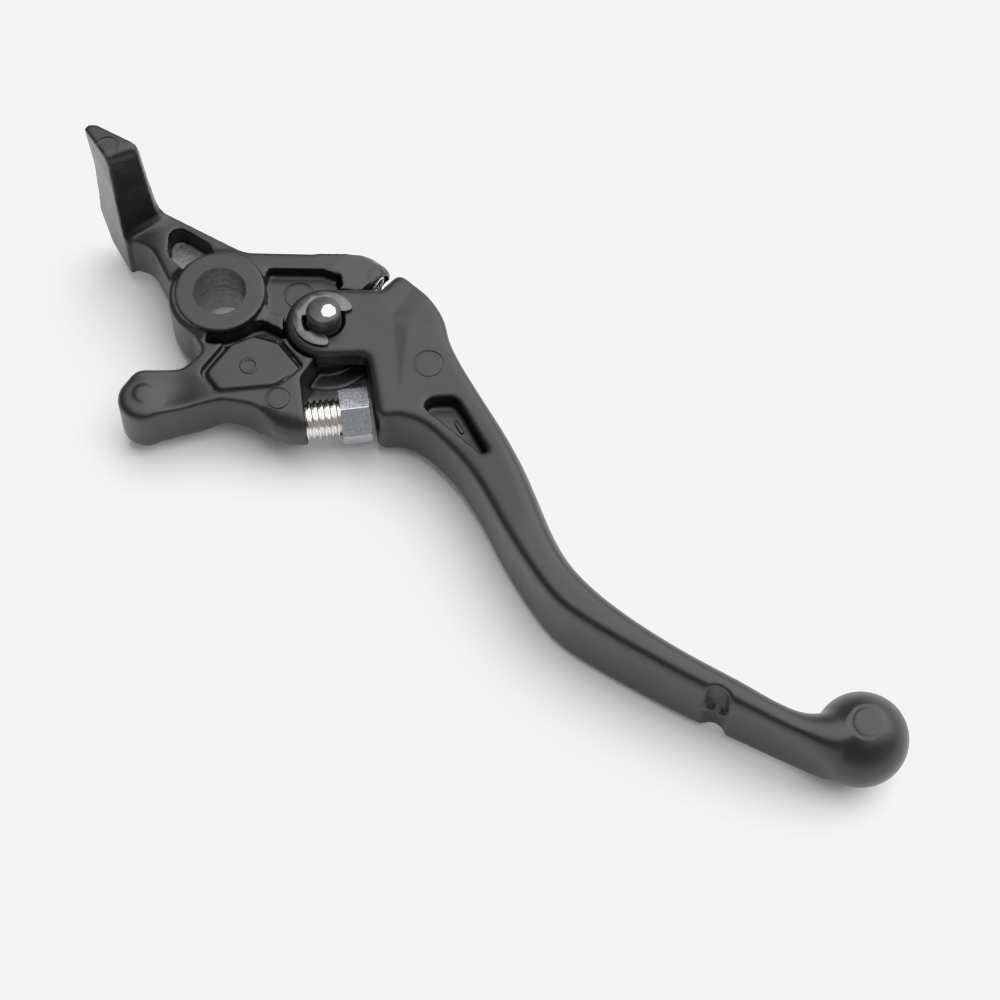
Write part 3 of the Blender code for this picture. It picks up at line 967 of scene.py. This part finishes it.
    def machine(self, piece: bpy.types.Object) -> None:
        """Bore the holes, crisp and ringed by the tool."""
        wall: list[Point] = [(0.0, 9.0), (6.1, 9.0), (self.bore_radius, 7.35)]
        height = 7.1
        rng = np.random.default_rng(7)
        while height > -7.0:
            groove = float(rng.uniform(0.03, 0.11))
            wall.append((self.bore_radius, height))
            wall.append((self.bore_radius + groove, height - 0.22))
            wall.append((self.bore_radius + groove * 0.6, height - 0.38))
            height -= float(rng.uniform(0.55, 0.95))
        wall += [(self.bore_radius, -7.35), (6.1, -9.0), (0.0, -9.0)]
        bores = [
            Forge.turned("pivot_bore", wall, None, 120),
            Forge.rod("pin_bore", 3.8, -9.0, 9.0, at(*self.pin)),
            Forge.rod("stud_bore", 4.2, -12.6, -5.0, adjuster_axis()),
            Forge.rod("spring_bore", 3.2, 15.6, 26.0, spring_axis()),
        ]
        for tool in bores:
            Forge.combine(piece, tool, Join.CUT, Solver.DENSE)

    def build(self) -> bpy.types.Object:
        """Make the finished base casting.

        Returns:
            The piece, riding on its body in place of its solid.
        """
        piece = self.shell()
        Forge.cast(piece, self.grain, 5)
        Forge.sculpt(piece, self.shape)
        Forge.relax(piece, self.lobe, 14)
        Forge.combine(piece, self.emblem(), Join.ADD, Solver.DENSE)
        self.machine(piece)
        self.engrave(piece, self.marks)
        piece.data.materials.clear()
        for finish in (POWDER, BORED, SANDED):
            piece.data.materials.append(finish.build())
        self.paint(piece, 0, lambda centres, normals: centres[:, 2] > -99.0)
        self.paint(piece, 1, self.in_bore)
        self.paint(piece, 2, self.in_pocket)
        Forge.finish(piece)
        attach(piece, "base")
        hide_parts("base_casting")
        return piece

    def in_bore(self, centres: np.ndarray, normals: np.ndarray) -> np.ndarray:
        """Faces of the pivot bore's wall."""
        reach = np.hypot(centres[:, 0], centres[:, 1])
        return (reach < self.bore_radius + 0.2) & (np.abs(normals[:, 2]) < 0.9)

    def in_pocket(self, centres: np.ndarray, normals: np.ndarray) -> np.ndarray:
        """Faces of the floor of the small pocket beside the boss."""
        level = (np.abs(centres[:, 2]) < 1.6) & (np.abs(normals[:, 2]) > 0.6)
        across = (centres[:, 0] > -18.5) & (centres[:, 0] < -7.0)
        return level & across & (centres[:, 1] > -1.0) & (centres[:, 1] < 8.2)


@dataclass
class BladeCasting(Casting):
    """The finger blade: ears, bearing face, shoulder, curved grip and ball end."""

    pin: Point = PIN_AXIS
    half: float = 7.4
    ear_radius: float = 7.9
    ball: float = 156.5
    ball_radius: float = 9.15
    near_rounding: float = 1.5
    ramp: float = 0.32
    fall: float = 0.1
    grain: float = 0.34
    near_edge: list[Point] = field(
        default_factory=lambda: [
            (43.9, -2.6),
            (46.4, -0.6),
            (50.6, 0.6),
            (55.5, 0.2),
            (62.0, -1.3),
            (69.0, -4.1),
            (78.0, -8.7),
            (87.0, -12.6),
            (95.0, -15.2),
            (102.0, -15.6),
            (112.0, -14.9),
            (125.0, -13.4),
            (138.0, -11.3),
            (149.5, -9.5),
            (153.5, -9.2),
            (157.0, -8.9),
        ]
    )
    far_edge: list[Point] = field(
        default_factory=lambda: [
            (156.0, 4.0),
            (151.4, 4.6),
            (149.2, 0.4),
            (146.4, -3.0),
            (141.5, -4.9),
            (132.0, -5.9),
            (120.5, -7.3),
            (110.0, -7.8),
            (101.0, -7.4),
            (93.0, -5.8),
            (86.0, -2.6),
            (79.0, 1.8),
            (72.2, 6.0),
            (64.0, 10.2),
            (55.0, 14.0),
            (49.0, 16.6),
            (43.7, 19.5),
            (39.2, 23.1),
            (34.0, 25.3),
            (28.8, 25.9),
        ]
    )
    profile: list[Point] = field(
        default_factory=lambda: [
            (20.0, 7.4),
            (46.0, 7.4),
            (58.0, 7.6),
            (70.0, 8.6),
            (82.0, 9.5),
            (100.0, 9.7),
            (116.0, 9.6),
            (131.0, 9.1),
            (145.0, 8.6),
            (168.0, 8.6),
        ]
    )
    marks: list[Mark] = field(default_factory=lambda: [Mark(44.0, 12.0, 2.95, 7.7, rise=0.08)])

    def outline(self) -> list[Point]:
        """The blade's plan: ear, bearing face, near edge, ball neck, far edge and shoulder."""
        corners: list[Corner] = [(25.86, 1.27, 0.0), (32.4, 6.5, 1.6), (42.8, -3.3, 0.0)]
        corners += flowing(self.near_edge)
        corners += flowing(self.far_edge)
        corners += [(25.5, 26.0, 1.5), (25.2, 20.44, 0.9), (16.14, 13.73, 0.0)]
        for step in range(1, 16):
            turn = math.radians(128 + 11.25 * step)
            x = self.pin[0] + self.ear_radius * math.cos(turn)
            y = self.pin[1] + self.ear_radius * math.sin(turn)
            corners.append((x, y, 0.0))
        return rounded(corners)

    def round_rims(self, spots: np.ndarray) -> np.ndarray:
        """Round the far rim along the grip, and both rims where the grip runs into the ball."""
        x = spots[:, 0]
        far = distance_to(spots, [corner[:2] for corner in flowing(self.far_edge)])
        near = distance_to(spots, [corner[:2] for corner in flowing(self.near_edge)])
        wide = np.interp(x, [40.0, 62.0, 90.0, 142.0, 154.0], [0.8, 3.2, 4.2, 4.4, 6.5])
        tight = np.interp(x, [141.0, 147.0, 151.0, 154.0, 157.0], [0.01, 0.6, 1.6, 3.6, 7.0])
        spots[:, 2] *= rim_level(far, wide, self.half) * rim_level(near, tight, self.half)
        return spots

    def thickness(self, x: np.ndarray) -> np.ndarray:
        """Half the blade's height along its length."""
        knots = np.array(self.profile)
        fine = np.linspace(knots[0, 0], knots[-1, 0], 400)
        level = np.interp(fine, knots[:, 0], knots[:, 1])
        kernel = np.hanning(31)
        level = np.convolve(np.pad(level, 15, mode="edge"), kernel / kernel.sum(), mode="valid")
        return np.interp(x, fine, level)

    def facet(self, x: np.ndarray, y: np.ndarray) -> np.ndarray:
        """How far the top stands above or below its level at the facets by the ears."""
        low = self.side(x, y, (31.2, 16.8), (43.8, 2.8))
        high = self.side(x, y, (33.4, 19.6), (43.8, 2.8))
        ramp = np.clip(low / np.maximum(low - high, 0.02), 0.0, 1.0) * self.ramp
        ramp *= (1 - soft_step(x, 50.0, 66.0)) * np.clip((y - 3.2) / 12.0, 0.0, 1.0)
        edge = [(20.0, 19.9), (25.1, 18.5), (31.2, 16.8), (35.0, 18.9), (41.3, 19.9), (48.0, 19.0)]
        above = y > np.interp(x, [spot[0] for spot in edge], [spot[1] for spot in edge])
        drop = distance_to(np.stack([x, y], axis=1), edge) * above
        ramp *= 1 - soft_step(y, 14.5, 20.5)
        return ramp * (x > 30.0) - self.fall * np.minimum(drop, 7.0) * (1 - soft_step(x, 40.0, 46.0))

    @staticmethod
    def side(x: np.ndarray, y: np.ndarray, start: Point, end: Point) -> np.ndarray:
        """Distance to the left of a line from start to end, negative to its right."""
        along = np.array(end) - np.array(start)
        along = along / np.hypot(*along)
        return along[0] * (y - start[1]) - along[1] * (x - start[0])

    @staticmethod
    def token() -> bpy.types.Object:
        """The plain raised bar on the floor of the crescent pocket."""
        plan = rounded([(-1.6, -0.45, 0.4), (1.6, -0.45, 0.4), (1.6, 0.45, 0.4), (-1.6, 0.45, 0.4)])
        place = at(56.2, 6.0) @ Matrix.Rotation(math.radians(-24), 4, "Z")
        piece = Forge.slab("token", plan, 2.5, 3.95, place)
        Forge.bevel(piece, 0.15, 2)
        return piece

    @staticmethod
    def neck(spots: np.ndarray) -> np.ndarray:
        """How strongly each point is relaxed where the grip runs into the ball."""
        x = spots[:, 0]
        return soft_step(x, 144.5, 150.5) * (1 - soft_step(x, 153.0, 158.0))

    def shape(self, spots: np.ndarray) -> np.ndarray:
        """Swell the grip, set the facets, flatten the ball's top and lift the marks."""
        x, y, z = spots[:, 0].copy(), spots[:, 1].copy(), spots[:, 2].copy()
        share = np.clip((np.abs(z) - 2.6) / (self.half - 2.6), 0.0, 1.0)
        z = z + np.sign(z) * self.facet(x, y) * share
        z = z * self.thickness(x) / self.half
        reach = np.hypot(x - self.ball - 0.5, y - 0.3)
        level = 8.55 - 0.2 * soft_step(reach, 2.5, 3.2) + 0.35 * soft_step(reach, 3.3, 4.6)
        spots[:, 2] = np.where(reach < 4.6, np.sign(z) * np.minimum(np.abs(z), level), z)
        return self.lift(spots, self.marks)

    def shell(self) -> bpy.types.Object:
        """The coarse casting with its hollows, before its skin is made fine."""
        blade = Forge.slab("blade_casting", self.outline(), -self.half, self.half)
        Forge.bevel(blade, self.near_rounding, 4)
        Forge.cast(blade, self.grain, 8)
        Forge.sculpt(blade, self.round_rims)
        Forge.deselect()
        bpy.ops.mesh.primitive_uv_sphere_add(segments=64, ring_count=40, radius=self.ball_radius)
        ball = bpy.context.object
        ball.name = "ball"
        squeeze = self.half / 8.6
        ball.data.transform(at(self.ball, 0.0) @ Matrix.Diagonal((1.0, 1.0, squeeze, 1.0)))
        Forge.combine(blade, ball, Join.ADD, Solver.DENSE)
        for tool in self.hollows():
            Forge.combine(blade, tool, Join.CUT, Solver.DENSE)
        return blade

    def hollows(self) -> list[bpy.types.Object]:
        """The tools for the slot, the crescent pockets and the break notch."""
        crescent = rounded(
            [
                (48.6, 3.9, 0.9),
                (48.9, 6.4, 1.8),
                (52.6, 9.5, 2.2),
                (56.0, 8.1, 2.6),
                (65.7, 3.4, 0.9),
                (64.6, 2.2, 0.8),
                (56.4, 3.2, 5.0),
            ]
        )
        notch = at(131.6, -13.4)
        web = 0.8 * self.half / 9.1
        tools = [
            Forge.rod("tongue_slot", 11.6, -2.5, 2.5, at(*self.pin)),
            Forge.slab("crescent_top", crescent, 3.4, 12.0),
            Forge.slab("crescent_bottom", crescent, -12.0, -3.4),
            Forge.rod("notch_top", 2.8, web, 12.0, notch),
            Forge.rod("notch_bottom", 2.8, -12.0, -web, notch),
        ]
        return tools

    def build(self) -> bpy.types.Object:
        """Make the finished blade casting.

        Returns:
            The piece, riding on its body in place of its solid.
        """
        piece = self.shell()
        Forge.cast(piece, self.grain, 12)
        Forge.relax(piece, self.neck, 40)
        Forge.sculpt(piece, self.shape)
        bores = [
            Forge.rod("pin_bore", 3.8, -9.0, 9.0, at(*self.pin)),
            Forge.rod("pin_mouth", 3.6, 6.6, 7.9, at(*self.pin), top=4.9),
            Forge.rod("spring_seat", 3.2, 20.0, 26.2, spring_axis()),
            Forge.rod("web_hole", 0.85, -4.0, 4.0, at(131.3, -11.6), sides=32),
        ]
        for tool in bores:
            Forge.combine(piece, tool, Join.CUT, Solver.DENSE)
        Forge.combine(piece, self.token(), Join.ADD, Solver.DENSE)
        self.engrave(piece, self.marks)
        piece.data.materials.clear()
        piece.data.materials.append(POWDER.build())
        Forge.finish(piece)
        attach(piece, "blade")
        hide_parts("blade_casting")
        return piece


@dataclass
class HingePin:
    """The pin through the ears, with its clip groove and head, and the dab of paint on its end."""

    pin: Point = PIN_AXIS
    radius: float = 3.5
    top: float = 11.4
    groove: float = 7.45
    clip: float = 0.8

    def build(self) -> list[bpy.types.Object]:
        """Make the pin and its paint dab.

        Returns:
            The finished pieces, riding on the pin's body.
        """
        over = self.groove + self.clip
        profile = [
            (0.0, self.top),
            (self.radius - 0.75, self.top),
            (self.radius - 0.6, self.top - 0.06),
            (self.radius - 0.08, self.top - 0.62),
            (self.radius, self.top - 0.8),
            (self.radius, over + 0.2),
            (self.radius - 0.1, over + 0.1),
            (self.radius - 0.5, over + 0.1),
            (self.radius - 0.5, self.groove - 0.1),
            (self.radius, self.groove - 0.1),
            (self.radius, -7.7),
            (5.0, -7.7),
            (5.2, -7.9),
            (5.2, -8.9),
            (4.8, -9.3),
            (0.0, -9.3),
        ]
        piece = Forge.turned("hinge_pin", profile, at(*self.pin))
        piece.data.materials.append(PHOSPHATE.build())
        Forge.finish(piece)
        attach(piece, "pin")
        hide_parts("hinge_pin")
        return [piece, self.dab()]

    def dab(self) -> bpy.types.Object:
        """The uneven spot of marking paint on the pin's end."""
        rng = np.random.default_rng(11)
        count = 44
        turns = np.linspace(0.0, 2 * math.pi, count, endpoint=False)
        reach = 1.45 + 0.07 * np.sin(3 * turns + 0.6) + 0.05 * np.sin(7 * turns)
        reach += rng.uniform(-0.05, 0.05, count)
        x = self.pin[0] + 1.0 + reach * np.cos(turns)
        y = self.pin[1] + 0.45 + reach * np.sin(turns)
        outline = [(float(one), float(two)) for one, two in zip(x, y)]
        piece = Forge.slab("paint_dab", outline, self.top - 0.03, self.top + 0.05)
        Forge.edit(piece)
        bpy.ops.mesh.select_all(action="DESELECT")
        bpy.ops.object.mode_set(mode="OBJECT")
        for face in piece.data.polygons:
            face.select = face.normal.z > 0.9
        bpy.ops.object.mode_set(mode="EDIT")
        bpy.ops.mesh.inset(thickness=0.12, depth=0.03)
        Forge.close()
        piece.data.materials.append(PAINT.build())
        Forge.finish(piece, 30.0)
        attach(piece, "pin")
        return piece


@dataclass
class RetainingClip:
    """The open clip in the pin's groove: a ring with three inner lugs."""

    pin: Point = PIN_AXIS
    outer: float = 6.25
    inner: float = 4.5
    lug: float = 3.15
    low: float = 7.5
    high: float = 8.25
    mouth: float = 8.0
    half_mouth: float = 50.0

    def outline(self) -> list[Point]:
        """The clip's plan, round the outside and back along the lugs."""
        turns = np.linspace(self.half_mouth, 360 - self.half_mouth, 90)
        gap = np.minimum(turns, 360 - turns)
        knots = self.half_mouth + np.array([0.0, 2.5, 7.0])
        rim = np.interp(gap, knots, [self.outer - 0.6, self.outer - 0.2, self.outer])
        bends = [50.0, 54.0, 62.0, 102.0, 109.0, 159.0, 165.0]
        wall = [4.5, 4.0, self.lug, self.lug, self.inner, self.inner, self.lug]
        bore = np.interp(gap, bends, wall)
        edge = [self.spot(float(reach), float(turn)) for reach, turn in zip(rim, turns)]
        back = [self.spot(float(reach), float(turn)) for reach, turn in zip(bore, turns)]
        return edge + back[::-1]

    def spot(self, reach: float, turn: float) -> Point:
        """A point of the clip, turned from the middle of its mouth."""
        angle = math.radians(self.mouth + turn)
        return (self.pin[0] + reach * math.cos(angle), self.pin[1] + reach * math.sin(angle))

    def build(self) -> bpy.types.Object:
        """Make the clip.

        Returns:
            The finished piece, riding on the pin's body.
        """
        piece = Forge.slab("e_clip", self.outline(), self.low, self.high)
        Forge.bevel(piece, 0.14, 2)
        piece.data.materials.append(CLIP_STEEL.build())
        Forge.finish(piece)
        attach(piece, "pin")
        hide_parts("e_clip")
        return piece


@dataclass
class Adjuster:
    """The threaded stud fixed in the lobe and the hexagon nut that runs on it."""

    radius: float = 4.0
    pitch: float = 1.25
    tooth: float = 0.68
    thread_start: float = -11.6
    turns: int = 8
    flats: float = 10.0
    nut_low: float = -2.9
    nut_high: float = 3.1
    nut_turn: float = 15.0

    def stud(self) -> bpy.types.Object:
        """The stud: a core with a helical ridge swept round it."""
        root = self.radius - self.tooth
        core = [
            (0.0, -0.5),
            (root - 0.4, -0.5),
            (root + 0.05, -0.9),
            (root + 0.05, -12.1),
            (root - 0.3, -12.45),
            (0.0, -12.45),
        ]
        piece = Forge.turned("adjuster_stud", core, None, 64)
        Forge.deselect()
        bpy.ops.mesh.primitive_circle_add(vertices=4, fill_type="NOTHING")
        ridge = bpy.context.object
        half = self.pitch / 2
        tooth = [(root - 0.12, -half + 0.02), (self.radius, -0.08), (self.radius, 0.08)]
        tooth.append((root - 0.12, half - 0.02))
        for vert, (reach, height) in zip(ridge.data.vertices, tooth):
            vert.co = (reach, 0.0, self.thread_start + height)
        Forge.apply(
            ridge,
            "SCREW",
            axis="Z",
            steps=48,
            render_steps=48,
            screw_offset=self.pitch,
            iterations=self.turns,
            use_merge_vertices=True,
            merge_threshold=0.0001,
        )
        Forge.edit(ridge)
        bpy.ops.mesh.fill_holes(sides=0)
        Forge.close()
        Forge.combine(piece, ridge, Join.ADD)
        piece.data.transform(adjuster_axis())
        piece.data.materials.clear()
        piece.data.materials.append(NICKEL.build())
        Forge.finish(piece, 28.0)
        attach(piece, "base")
        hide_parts("adjuster_stud")
        return piece

    def nut(self) -> bpy.types.Object:
        """The hexagon nut, its corners chamfered at both ends and its edges broken."""
        corner = self.flats / 2 / math.cos(math.radians(30))
        spin = Matrix.Rotation(math.radians(self.nut_turn), 4, "Z")
        piece = Forge.rod("adjuster_nut", corner, self.nut_low, self.nut_high, spin, sides=6)
        Forge.bevel(piece, 0.14, 2)
        profile = [
            (0.0, self.nut_high + 0.3),
            (corner - 0.45, self.nut_high + 0.3),
            (corner - 0.42, self.nut_high),
            (corner + 0.1, self.nut_high - 0.3),
            (corner + 0.1, self.nut_low + 0.3),
            (corner - 0.42, self.nut_low),
            (corner - 0.45, self.nut_low - 0.3),
            (0.0, self.nut_low - 0.3),
        ]
        Forge.combine(piece, Forge.turned("nut_turning", profile), Join.KEEP)
        bore = [(0.0, 6.0), (4.2, 6.0), (4.2, -2.2), (4.9, -3.2), (0.0, -3.2)]
        Forge.combine(piece, Forge.turned("nut_bore", bore, None, 64), Join.CUT)
        piece.data.transform(adjuster_axis())
        piece.data.materials.clear()
        piece.data.materials.append(ZINC.build())
        Forge.finish(piece, 25.0)
        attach(piece, "nut")
        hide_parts("adjuster_nut")
        return piece

    def build(self) -> list[bpy.types.Object]:
        """Make the stud and the nut."""
        return [self.stud(), self.nut()]


@dataclass
class ReachSpring:
    """The coil spring between the base's barrel and the blade's shoulder."""

    radius: float = 2.4
    wire: float = 0.4
    start: float = 15.9
    end: float = 25.9
    turns: int = 6
    around: int = 28
    sides: int = 12

    def lead(self, turn: float) -> float:
        """How far along its axis the wire has come after a number of turns."""
        closed = 2.2 * self.wire
        span = self.end - self.start - 2 * self.wire
        if turn < 1:
            return closed * turn
        if turn > self.turns - 1:
            return span - closed * (self.turns - turn)
        return closed + (span - 2 * closed) * (turn - 1) / (self.turns - 2)

    def build(self) -> bpy.types.Object:
        """Make the spring from a bent cylinder.

        Returns:
            The finished piece, which stretches between the base and the blade.
        """
        count = self.turns * self.around
        Forge.deselect()
        bpy.ops.mesh.primitive_cylinder_add(vertices=self.sides, radius=self.wire, depth=1.0)
        piece = bpy.context.object
        piece.name = "reach_spring"
        Forge.edit(piece)
        bpy.ops.mesh.select_mode(type="EDGE")
        bpy.ops.mesh.select_all(action="DESELECT")
        bpy.ops.object.mode_set(mode="OBJECT")
        for edge in piece.data.edges:
            low, high = (piece.data.vertices[index].co.z for index in edge.vertices)
            edge.select = abs(low - high) > 0.5
        bpy.ops.object.mode_set(mode="EDIT")
        bpy.ops.mesh.select_mode(type="EDGE")
        bpy.ops.mesh.subdivide_edgering(number_cuts=count - 1)
        bpy.ops.mesh.select_mode(type="VERT")
        Forge.close()
        Forge.sculpt(piece, self.coil)
        piece.data.transform(spring_axis())
        piece.data.materials.append(WIRE.build())
        Forge.finish(piece, 50.0)
        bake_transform(piece)
        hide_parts("reach_spring")
        return piece

    def coil(self, spots: np.ndarray) -> np.ndarray:
        """Wind a straight wire along Z into the coil."""
        turn = (spots[:, 2] + 0.5) * self.turns
        lead = np.array([self.lead(float(value)) for value in turn])
        angle = 2 * math.pi * turn
        reach = self.radius + spots[:, 0]
        wound = [reach * np.cos(angle), reach * np.sin(angle)]
        return np.stack([*wound, self.start + self.wire + lead + spots[:, 1]], axis=1)


@dataclass
class Studio:
    """The pale floor, the soft light, the tones and the camera."""

    floor_height: float = -0.0099
    floor_size: float = 6.0
    sky: float = 0.32
    softbox_spot: tuple[float, float, float] = (0.75, 2.18, 3.35)
    softbox_size: tuple[float, float] = (6.4, 7.5)
    softbox_power: float = 376.0
    shoulder: float = 0.78
    brightest: float = 0.905
    camera_spot: tuple[float, float, float] = (0.2360, -0.2180, 0.5240)
    pitch: float = 62.5
    heading: float = 37.14
    lens: float = 108.0

    def build(self) -> None:
        """Lay the floor, hang the light, set the tones and the camera."""
        self.floor()
        self.lights()
        self.tone()
        self.camera()

    def floor(self) -> None:
        """A wide pale sheet under the lever."""
        Forge.deselect()
        bpy.ops.mesh.primitive_grid_add(x_subdivisions=8, y_subdivisions=8, size=self.floor_size)
        sheet = bpy.context.object
        sheet.name = "floor"
        sheet.data.transform(at(0.0, 0.0, self.floor_height))
        made = bpy.data.materials.new("pale_floor")
        made.use_nodes = True
        shader = made.node_tree.nodes["Principled BSDF"]
        shader.inputs["Base Color"].default_value = (0.97, 0.97, 0.97, 1.0)
        shader.inputs["Roughness"].default_value = 0.9
        shader.inputs["Specular IOR Level"].default_value = 0.0
        sheet.data.materials.append(made)

    def lights(self) -> None:
        """A broad overhead softbox and a pale sky."""
        world = bpy.data.worlds.new("studio")
        bpy.context.scene.world = world
        world.use_nodes = True
        sky = world.node_tree.nodes["Background"]
        sky.inputs["Color"].default_value = (1.0, 1.0, 1.0, 1.0)
        sky.inputs["Strength"].default_value = self.sky
        light = bpy.data.lights.new("overhead", "AREA")
        light.shape = "RECTANGLE"
        light.size, light.size_y = self.softbox_size
        light.energy = self.softbox_power
        lamp = bpy.data.objects.new("overhead", light)
        lamp.location = self.softbox_spot
        aim = Vector((0.06, 0.0, 0.0)) - Vector(self.softbox_spot)
        lamp.rotation_euler = aim.to_track_quat("-Z", "Y").to_euler()
        bpy.context.scene.collection.objects.link(lamp)

    def tone(self) -> None:
        """Hold the brightest tones at the backdrop's pale grey."""
        view = bpy.context.scene.view_settings
        view.view_transform = "Standard"
        view.use_curve_mapping = True
        curve = view.curve_mapping.curves[3]
        curve.points[-1].location = (1.0, self.brightest)
        curve.points.new(self.shoulder, self.shoulder)
        view.curve_mapping.extend = "HORIZONTAL"
        view.curve_mapping.update()

    def camera(self) -> None:
        """The camera at the viewing angle."""
        lens = bpy.data.cameras.new("camera")
        lens.lens = self.lens
        lens.sensor_width = 36.0
        lens.clip_start = 0.01
        view = bpy.data.objects.new("camera", lens)
        view.location = self.camera_spot
        view.rotation_euler = (math.radians(90 - self.pitch), 0.0, math.radians(self.heading))
        bpy.context.scene.collection.objects.link(view)
        bpy.context.scene.camera = view


def triangles(piece: bpy.types.Object) -> int:
    """The number of triangles in a piece."""
    return sum(len(face.vertices) - 2 for face in piece.data.polygons)


def main() -> None:
    """Build the lever piece by piece and the studio round it."""
    logging.basicConfig(level=logging.INFO, format="%(name)s: %(message)s")
    pieces = [BaseCasting().build(), BladeCasting().build()]
    pieces += HingePin().build()
    pieces.append(RetainingClip().build())
    pieces += Adjuster().build()
    pieces.append(ReachSpring().build())
    for piece in pieces:
        LOG.info("%s: %d triangles", piece.name, triangles(piece))
    Studio().build()


if __name__ == "__main__":
    main()
